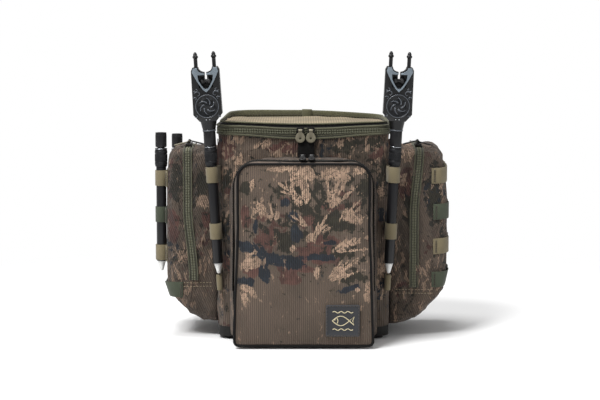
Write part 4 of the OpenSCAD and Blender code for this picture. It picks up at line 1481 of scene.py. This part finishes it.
def seam_stitches(pocket):
    """Twin stitching across the pocket's front, at the seam that its cover turns about."""
    pieces = []
    for drop in (3 * MM, 9 * MM):
        z = pocket.seam.z - drop
        line, normals = [], []
        for i in range(15):
            x = pocket.inner + 8 * MM + (pocket.outer - pocket.inner - 26 * MM) * i / 14
            across = math.sin(math.pi * (x - pocket.inner) / (pocket.outer - pocket.inner))
            up = math.sin(math.pi * (z - pocket.z0) / (pocket.z1 - pocket.z0))
            spot = Vector((pocket.side * x, pocket.y0 - 3.5 * MM * across * up, z))
            line.append(spot + Vector((0, -0.7 * MM - pocket.fold(spot), 0)))
            normals.append(Vector((0, -1, 0)))
        pieces.append(stitches("thread", line, normals, "thread"))
    attach(merge(pocket.name + "_seam_stitches", pieces), "pack")


# ---------------------------------------------------------------- loops that hold the sticks

def stick_axis(node):
    """A stick's foot and direction, from its lift joint and its tube's box."""
    lift = next(j for j in frame["joints"] if j["name"].endswith("_lift") and j["child"] + "_tube" == node)
    direction = Vector(lift["axis"]).normalized()
    lo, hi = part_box(node)
    foot = Vector(((lo.x + hi.x) / 2, (lo.y + hi.y) / 2, lo.z))
    middle = Vector(((lo.x + hi.x) / 2, (lo.y + hi.y) / 2, (lo.z + POINT_L + hi.z) / 2))
    return middle - direction * ((middle.z - foot.z) / direction.z), direction


def loop_frames(centre, axis, towards, reach, r):
    """A band from the cloth, round a stick and back: towards points to the cloth, which is reach away."""
    side = axis.cross(towards).normalized()
    gap = 2.0 * MM
    mouth = math.radians(40)

    def around(a):
        return towards * (r * math.cos(a)) + side * (r * math.sin(a))

    line = [(towards * reach + side * gap).lerp(around(mouth), i / 5) for i in range(6)]
    line += [around(mouth + 2 * (math.pi - mouth) * i / 24) for i in range(1, 25)]
    line += [around(-mouth).lerp(towards * reach - side * gap, i / 5) for i in range(1, 6)]
    return [(centre + p, t.cross(axis).normalized(), axis) for p, t in zip(line, tangents(line))]


def loop_levels(node, left, right):
    """The middle heights of a node's loops between two places across the pack, from the top down."""
    heights = sorted(v.co.z for v in frame["nodes"][node].data.vertices if left < v.co.x < right)
    edges = []
    for z in heights:
        if not edges or z > edges[-1][1] + 4 * MM:
            edges.append([z, z])
        edges[-1][1] = z
    if len(edges) % 2 == 0 and edges[0][1] - edges[0][0] < 12 * MM:
        return [(a[0] + b[1]) / 2 for a, b in zip(edges[0::2], edges[1::2])][::-1]
    return [(a + b) / 2 for a, b in edges][::-1]


def stick_loops():
    """The elastic loops at the front corners and the loops on the left pocket's side."""
    r = 9.0 * MM
    pack = []
    for node, side in (("left_stick_tube", -1), ("right_stick_tube", 1)):
        foot, axis = stick_axis(node)
        reach_x = sorted((side * (HALF_W + 20 * MM), side * (HALF_W - 30 * MM)))
        for mid in loop_levels("pack_loops", *reach_x):
            centre = foot + axis * ((mid - foot.z) / axis.z)
            empty = mid < foot.z
            if empty:
                centre += Vector((0, 6 * MM, 0))
            corner = Vector((side * (HALF_W - CORNER_R), -HALF_D + CORNER_R, mid))
            towards = Vector((side * (HALF_W - 9 * MM), -HALF_D + CORNER_R, mid)) - centre
            towards = (towards - axis * towards.dot(axis)).normalized()
            gap = centre - corner
            along = -gap.dot(towards)
            reach = along - math.sqrt(max(0.0, along * along - gap.dot(gap) + CORNER_R ** 2)) + 1 * MM
            band = loop_frames(centre, axis, towards, reach, 4 * MM if empty else r)
            pack.append(sweep("loop", band, flat_profile(1.5 * MM, WEB_W), "tan_web"))
    attach(merge("corner_stick_loops", pack), "pack", ("pack_loops",))
    tan, green = [], []
    for node, towards, left, right in (("side_stick_a_tube", RIGHT, -12 * MM, 1 * MM),
                                       ("side_stick_b_tube", FORWARD, 1 * MM, 20 * MM)):
        foot, axis = stick_axis(node)
        for k, mid in enumerate(loop_levels("side_stick_loops", foot.x + left, foot.x + right)):
            centre = foot + axis * ((mid - foot.z) / axis.z)
            is_green = node == "side_stick_a_tube" and k == 1
            band = sweep("loop", loop_frames(centre, axis, towards, r + 3.5 * MM, r),
                         flat_profile(1.5 * MM, WEB_W), "green_web" if is_green else "tan_web")
            (green if is_green else tan).append(band)
    attach(merge("side_stick_loop_bands", tan), "left_cover", ("side_stick_loops",))
    attach(merge("side_stick_green_band", green), "left_cover")


# ---------------------------------------------------------------- padding and straps

def puff(piece, cap, voxel=5 * MM, pressure=4.0):
    """Fills a pad with air by cloth simulation; no point moves further than cap."""
    remesh = piece.modifiers.new("remesh", "REMESH")
    remesh.mode = "VOXEL"
    remesh.voxel_size = voxel
    apply_modifiers(piece)
    start = [v.co.copy() for v in piece.data.vertices]
    cloth = piece.modifiers.new("cloth", "CLOTH")
    cloth.settings.use_pressure = True
    cloth.settings.uniform_pressure_force = pressure
    cloth.settings.effector_weights.gravity = 0.0
    cloth.settings.mass = 0.3
    cloth.settings.tension_stiffness = 20
    cloth.settings.bending_stiffness = 1.0
    cloth.point_cache.frame_start = 1
    cloth.point_cache.frame_end = 20
    for step in range(1, 21):
        bpy.context.scene.frame_set(step)
    apply_modifiers(piece)
    bpy.context.scene.frame_set(1)
    for v, rest in zip(piece.data.vertices, start):
        move = v.co - rest
        if move.length > cap:
            v.co = rest + move.normalized() * cap
    smooth = piece.modifiers.new("smooth", "SUBSURF")
    smooth.levels = smooth.render_levels = 1
    apply_modifiers(piece)
    piece.data.polygons.foreach_set("use_smooth", [True] * len(piece.data.polygons))
    return piece


def soft_block(name, low, high, radius, material):
    """A rounded slab between two corners, the starting shape of a pad."""
    rings = []
    for share, inset in ((0, radius), (0.2, 0.0), (0.8, 0.0), (1, radius)):
        y = low.y + (high.y - low.y) * share
        u0, u1, v0, v1 = low.x + inset, high.x - inset, low.z + inset, high.z - inset
        rings.append([Vector((x, y, z)) for x, z, _, _ in outline(u0, u1, v0, v1, (9 * MM,) * 4, 6, 12)])
    verts = [p for ring in rings for p in ring]
    count = len(rings[0])
    faces = []
    for k in range(len(rings) - 1):
        for i in range(count):
            j = (i + 1) % count
            faces.append((k * count + i, k * count + j, (k + 1) * count + j, (k + 1) * count + i))
    faces.append(tuple(range(count)))
    faces.append(tuple((len(rings) - 1) * count + i for i in range(count))[::-1])
    return outward(build(name, verts, faces, material))


def back_pad():
    """Three air-mesh cushions on the wearer's side, with a bound panel behind them."""
    lo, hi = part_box("back_pad")
    gap, cells = 5 * MM, 3
    tall = (hi.z - lo.z - gap * (cells - 1)) / cells
    cushions = []
    for k in range(cells):
        z0 = lo.z + k * (tall + gap)
        low = Vector((lo.x + 3 * MM, lo.y + 2.5 * MM, z0 + 2 * MM))
        high = Vector((hi.x - 3 * MM, hi.y - 3 * MM, z0 + tall - 2 * MM))
        cushions.append(puff(soft_block("cushion", low, high, 3 * MM, "net"), 6 * MM))
    panel_lo = lo - Vector((0, 0.3 * MM, 0))
    panel = soft_block("panel", panel_lo, Vector((hi.x, lo.y + 3 * MM, hi.z)), 1 * MM, "black_web")
    for piece in cushions:
        cloth_map(piece.data)
    attach(merge("back_cushions", cushions + [panel]), "pack", ("back_pad",))


def strap_curve():
    """The middle line of a shoulder strap, read from its CAD box: (y, z) from top to bottom."""
    lo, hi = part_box("shoulder_straps")
    steps = 30
    bow = hi.y - lo.y - 27.7 * MM
    line = []
    for i in range(steps + 1):
        u = i / steps
        line.append((lo.y + 21.7 * MM + bow * math.sin(math.pi * u ** 0.8), hi.z + (lo.z - hi.z) * u))
    return line


def shoulder_straps():
    """Two padded straps with bound edges, a webbing tip at their foot and a sewn anchor at their head."""
    lo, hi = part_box("shoulder_straps")
    pad_w = STRAP_W - 6 * MM

    def taper(t):
        return 1.0, 1.0 - 0.42 * max(0.0, (t - 0.45) / 0.55) ** 1.5

    pieces, edges = [], []
    for side in (-1, 1):
        x = side * STRAP_X
        line = [Vector((x, y, z)) for y, z in strap_curve()]
        frames = [(p, RIGHT.cross(t).normalized(), RIGHT) for p, t in zip(line, tangents(line))]
        pad = sweep("strap", frames, oval_profile(9 * MM, pad_w, 16, 0.5), "net", size=taper)
        pieces.append(puff(pad, 4 * MM, 4.5 * MM, 3.0))
        cloth_map(pieces[-1].data)
        for edge in (-1, 1):
            path = []
            for i, (pos, out, across) in enumerate(frames):
                half = pad_w / 2 * taper(i / (len(frames) - 1))[1]
                path.append((pos + across * (edge * half), out, across))
            edges.append(sweep("edge", path, oval_profile(8 * MM, 4 * MM, 10, 0.8), "black_web"))
        head = line[-1] + Vector((0, 0.6 * MM, 12 * MM))
        tip = [(head - UP * (26 * MM * i / 6), -FORWARD, RIGHT) for i in range(7)]
        edges.append(sweep("tip", tip, flat_profile(1.6 * MM, WEB_W), "black_web"))
        anchor = []
        for i in range(13):
            a = math.radians(90 * i / 12)
            y = lo.y + 24 * MM * math.sin(a) ** 1.3
            z = hi.z - 20 * MM + 17 * MM * math.cos(a) ** 0.6 * (1 - 0.15 * i / 12)
            anchor.append((Vector((x, y, z)), Vector((0, 0.4, 1)).normalized(), RIGHT))
        edges.append(sweep("anchor", anchor, flat_profile(3.0 * MM, STRAP_W - 10 * MM), "black_web"))
    attach(merge("strap_pads", pieces + edges), "pack", ("shoulder_straps",))


def lower_straps():
    """Webbing from each ladder lock to the foot of the rear wall, and the loose tail below each lock."""
    lo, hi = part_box("strap_webbing")
    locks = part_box("ladder_locks")
    bends = [(lo.y + 1.0 * MM, lo.z), (lo.y + 1.2 * MM, lo.z + 9 * MM), (lo.y + 8 * MM, lo.z + 22 * MM),
             (lo.y + 17 * MM, hi.z), (locks[0].y + 1.2 * MM, locks[0].z + 8 * MM)]
    pieces = []
    for side in (-1, 1):
        x = side * STRAP_X
        points = [Vector((x, y, z)) for y, z in bends]
        line = []
        for a, b in zip(points, points[1:]):
            line += [a.lerp(b, t / 6) for t in range(6)]
        line.append(points[-1])
        frames = [(p, t.cross(RIGHT).normalized(), RIGHT) for p, t in zip(line, tangents(line))]
        pieces.append(sweep("lower_strap", frames, flat_profile(1.6 * MM, WEB_W), "black_web"))
        tail = []
        for i in range(9):
            y = locks[1].y + 1.2 * MM + 2 * MM * math.sin(i / 3)
            tail.append((Vector((x, y, locks[0].z + 6 * MM - 5 * MM * i)), -FORWARD, RIGHT))
        pieces.append(sweep("tail", tail, flat_profile(1.6 * MM, WEB_W), "black_web"))
    attach(merge("lower_strap_webbing", pieces), "pack", ("strap_webbing",))


def haul_handle():
    """A webbing grab loop with a padded grip, and the two tabs that hold it."""
    lo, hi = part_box("haul_handle")
    y = (lo.y + hi.y) / 2
    half, top, low = hi.x - 6 * MM, hi.z - 1 * MM, lo.z + 4 * MM
    r = 9 * MM
    bend = [math.radians(15 * i) for i in range(1, 7)]
    line = [(-half, top - (top - low - r) * i / 6) for i in range(7)]
    line += [(-half + r - r * math.cos(a), low + r - r * math.sin(a)) for a in bend]
    line += [(-half + r + (2 * half - 2 * r) * i / 8, low) for i in range(1, 9)]
    line += [(half - r + r * math.sin(a), low + r - r * math.cos(a)) for a in bend]
    line += [(half, low + r + (top - low - r) * i / 6) for i in range(1, 7)]
    path = ribbon([Vector((x, y, z)) for x, z in line], -FORWARD)
    web = sweep("web", path, flat_profile(2.2 * MM, 11 * MM), "black_web")

    def swell(t):
        return (0.75 + 0.25 * math.sin(math.pi * t) ** 0.4,) * 2

    middle = [(Vector((half * (-0.62 + 1.24 * i / 10), y, low)), -FORWARD, UP) for i in range(11)]
    grip = sweep("grip", middle, round_profile(4.0 * MM, 14), "net", size=swell)
    attach(merge("handle_webbing", [web, grip]), "handle", ("haul_handle",))
    tabs = []
    for side in (-1, 1):
        head = Vector((side * half, HALF_D + 1.5 * MM, top + 4 * MM))
        path = [(head - UP * (20 * MM * i / 4), -FORWARD, RIGHT) for i in range(5)]
        tabs.append(sweep("anchor", path, flat_profile(2.0 * MM, 20 * MM), "black_web"))
    attach(merge("handle_anchors", tabs), "pack")


# ---------------------------------------------------------------- sticks and alarms

def knurl(foot, axis, levels, radius, count, width, material):
    """Fine ridges spaced round a stick, each running through the levels along its axis."""
    rows = []
    for start, out, _ in stick_circle(foot, axis, radius, count):
        path = [(start + axis * level, out, axis.cross(out)) for level in levels]
        rows.append(sweep("ridge", path, oval_profile(0.9 * MM, width, 6), material))
    return rows


def stick_details():
    """Knurled collars with bright lock rings, bright ground points, and knurled heads on the side sticks."""
    for name, collar in (("left_stick", "left_collar"), ("right_stick", "right_collar"),
                         ("side_stick_a", "side_collar_a"), ("side_stick_b", "side_collar_b")):
        foot, axis = stick_axis(name + "_tube")
        tube_lo, tube_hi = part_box(name + "_tube")
        start = (tube_hi.z - foot.z) / axis.z
        length = 28 * MM
        levels = [start + length * t for t in (0.30, 0.34, 0.66, 0.70)]
        grip = knurl(foot, axis, levels, 9.65 * MM, 28, 1.1 * MM, "collar")
        lock = stick_circle(foot + axis * (start + length + 0.6 * MM), axis, 8.7 * MM, 36)
        grip.append(sweep("ring", lock, oval_profile(2.4 * MM, 1.8 * MM, 8, 0.8), "ring", closed=True))
        attach(merge(name + "_collar_grip", grip), collar)
        bottom = Vector((foot.x, foot.y, tube_lo.z))
        side = axis.cross(-FORWARD).normalized()
        path = [(bottom + axis * (POINT_L * t), -FORWARD, side) for t in (0, 0.03, 0.3, 0.6, 0.9, 1)]
        cone = sweep(name + "_point", path, round_profile(7.3 * MM, 24), "tip",
                     size=lambda t: (0.16 + 0.84 * t,) * 2)
        attach(cone, name)
        if name.startswith("side"):
            top = (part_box(name + "_rod")[1].z - foot.z) / axis.z
            levels = [top - 21 * MM + 18 * MM * t for t in (0.0, 0.08, 0.92, 1.0)]
            head = knurl(foot, axis, levels, 8.55 * MM, 26, 1.0 * MM, "stick")
            attach(merge(name + "_head_knurl", head), "side_rod_" + name[-1])


def alarm_frame(name):
    """The alarm's own axes: (origin on the stick at the head's bottom, up, right, front)."""
    turn = joint(name + "_alarm_turn")
    up = Vector(turn["axis"]).normalized()
    front = Vector((0, -1, 0))
    right = front.cross(up).normalized() * -1
    return Vector(turn["pos_m"]), up, right, front


def alarm_details(name):
    """Scroll relief, the speaker's vanes and ring, lamps, screws and a neck ring on each alarm. The scrolls,
    vanes, speaker ring and neck ring are a lighter grey than the black case: painted highlight. The scrolls
    are plain spirals."""
    origin, up, right, front = alarm_frame(name)
    face = 13.9 * MM

    def at(u, w, out=0.0):
        return origin + right * (u * MM) + up * (w * MM) + front * (face + out * MM)

    relief = []
    scrolls = ((13.6, 58.5, 5.4, 1), (16.0, 66, 3.6, -1), (17.6, 52, 3.0, 1), (17.4, 26, 2.6, -1))
    for side in (-1, 1):
        for cu, cw, size, spin in scrolls:
            line = []
            for i in range(25):
                a = spin * (0.4 + 4.6 * i / 24)
                r = size * (1 - 0.72 * i / 24)
                line.append(at(side * (cu + r * math.cos(a)), cw + r * math.sin(a)))
            relief.append(sweep("scroll", ribbon(line, front), oval_profile(2.0 * MM, 1.9 * MM, 8, 0.9),
                                "relief", size=lambda t: (1 - 0.5 * t,) * 2))
    speaker_w = 40.0
    for k in range(6):
        line = []
        for t in (0, 0.25, 0.5, 0.75, 1.0):
            reach, turn = 4.6 + 8.6 * t, math.radians(30 + 60 * k) + 1.1 * t
            line.append(at(reach * math.cos(turn), speaker_w + reach * math.sin(turn), 1.8))
        relief.append(sweep("vane", ribbon(line, front), oval_profile(1.6 * MM, 2.4 * MM, 8), "relief",
                            size=lambda t: (1, 1 - 0.5 * t)))
    rim = circle(at(0, speaker_w, 2.6), right, up, front, 17.6 * MM, 40)
    relief.append(sweep("speaker_ring", rim, oval_profile(1.2 * MM, 1.6 * MM, 8, 0.9), "relief", closed=True))
    for u in (-2.6, 2.6):
        lamp = [(at(u, 19.0, o), right, up) for o in (-0.5, 0.6, 1.0)]
        relief.append(sweep("lamp", lamp, round_profile(0.9 * MM, 10), "lamp",
                            size=lambda t: (1 - 0.4 * t * t,) * 2))
    for u in (-17.5, 17.5):
        screw = [(at(u, 22.0, -27.5 - o), right, up) for o in (0, 0.8)]
        relief.append(sweep("screw", screw, round_profile(1.8 * MM, 12), "ring"))
    neck = circle(origin + up * (1.6 * MM), right, front, up, 9.7 * MM, 32)
    relief.append(sweep("neck_ring", neck, oval_profile(1.6 * MM, 2.2 * MM, 8), "relief", closed=True))
    attach(merge(name + "_alarm_relief", relief), name + "_alarm")


def hardware():
    """Materials for the hard parts, which keep their CAD shapes."""
    dress_cad(["moulded_base"], "base", 1.5 * MM, 3)
    dress_cad(["ladder_locks"], "black_tab", 0.8 * MM, 2)
    for name in ("left_stick", "right_stick", "side_stick_a", "side_stick_b"):
        dress_cad([name + "_tube", name + "_rod"], "stick", 0.5 * MM)
        dress_cad([name + "_collar"], "collar", 0.5 * MM)
    for name in ("left", "right"):
        dress_cad([name + "_alarm_case"], "alarm", 1.4 * MM, 3)
        dress_cad([name + "_alarm_faceplate"], "plate", 0.4 * MM)
        dress_cad([name + "_alarm_speaker"], "speaker", 0.4 * MM)
        dress_cad([name + "_alarm_roller"], "black_tab", 0.4 * MM)
    for name in ("main", "front", "left", "right"):
        dress_cad([f"{name}_slider_{k}" for k in "ab"], "slider", 0.6 * MM)
        for k in "ab":
            grey = name == "main" or (name, k) == ("left", "a")
            dress_cad([f"{name}_tab_{k}"], "grey_tab" if grey else "black_tab", 0.5 * MM)


# ---------------------------------------------------------------- stage

def stage():
    """A white floor that fades into the white background, a big soft key lamp on the left, and weak fill."""
    n = Nodes("floor")
    place = n.place()
    spread = n.add("VectorMath", operation="LENGTH")
    n.link(n.mapped(place, scale=(0.75, 0.8, 1.0)), spread.inputs[0])
    far = n.ramp(spread.outputs["Value"], 0.34, 0.74)
    n.finish((0.92, 0.92, 0.92), 0.7, shine=0.1)
    glow = n.add("Emission")
    glow.inputs["Color"].default_value = (1.0, 1.0, 1.0, 1.0)
    both = n.add("MixShader")
    n.link(far, both.inputs["Fac"])
    n.link(n.bsdf.outputs[0], both.inputs[1])
    n.link(glow.outputs[0], both.inputs[2])
    n.link(both.outputs[0], n.tree.nodes["Material Output"].inputs["Surface"])
    mesh = bpy.data.meshes.new("floor")
    corners = [(-30, -30, 0), (30, -30, 0), (30, 30, 0), (-30, 30, 0)]
    mesh.from_pydata(corners, [], [(0, 1, 2, 3)])
    mesh.materials.append(n.mat)
    floor = bpy.data.objects.new("floor", mesh)
    bpy.context.scene.collection.objects.link(floor)

    world = bpy.data.worlds.new("studio")
    bpy.context.scene.world = world
    world.use_nodes = True
    tree = world.node_tree
    seen = tree.nodes.new("ShaderNodeLightPath")
    strength = tree.nodes.new("ShaderNodeMapRange")
    tree.links.new(seen.outputs["Is Camera Ray"], strength.inputs["Value"])
    strength.inputs["To Min"].default_value = 0.34
    strength.inputs["To Max"].default_value = 1.0
    back = tree.nodes["Background"]
    back.inputs["Color"].default_value = (1.0, 1.0, 1.0, 1.0)
    tree.links.new(strength.outputs["Result"], back.inputs["Strength"])
    for name, place, size, power in (
        ("key", (-1.3, -1.8, 2.9), 1.2, 118),
        ("fill", (2.0, -2.2, 1.0), 1.6, 7),
        ("top", (-0.3, 0.1, 2.7), 1.1, 46),
    ):
        light = bpy.data.lights.new(name, "AREA")
        light.energy = power
        light.size = size
        lamp = bpy.data.objects.new(name, light)
        lamp.location = place
        aim = Vector((0, 0, 0.2)) - Vector(place)
        lamp.rotation_euler = aim.to_track_quat("-Z", "Y").to_euler()
        bpy.context.scene.collection.objects.link(lamp)
    bpy.context.scene.view_settings.view_transform = "Standard"


def camera():
    """The photograph's point of view: a long lens, a little above the bag."""
    data = bpy.data.cameras.new("camera")
    data.lens = 115.5
    data.sensor_width = 36
    data.clip_end = 100
    cam = bpy.data.objects.new("camera", data)
    cam.location = (-0.0056, -3.10, 0.552)
    cam.rotation_euler = (math.radians(90 - 6.29), 0, 0)
    bpy.context.scene.collection.objects.link(cam)
    bpy.context.scene.camera = cam


body_fabric()
corner_seams()
main_zip()
rear_hinge()
tab_shadow_patch()
floor_lining()
lid_panel()
lid_gusset()
lid_rim()
front_pocket()
front_zip()
badge()
side_pocket("left", -1)
side_pocket("right", 1)
stick_loops()
back_pad()
shoulder_straps()
lower_straps()
haul_handle()
hardware()
stick_details()
for alarm_name in ("left", "right"):
    alarm_details(alarm_name)
stage()
camera()
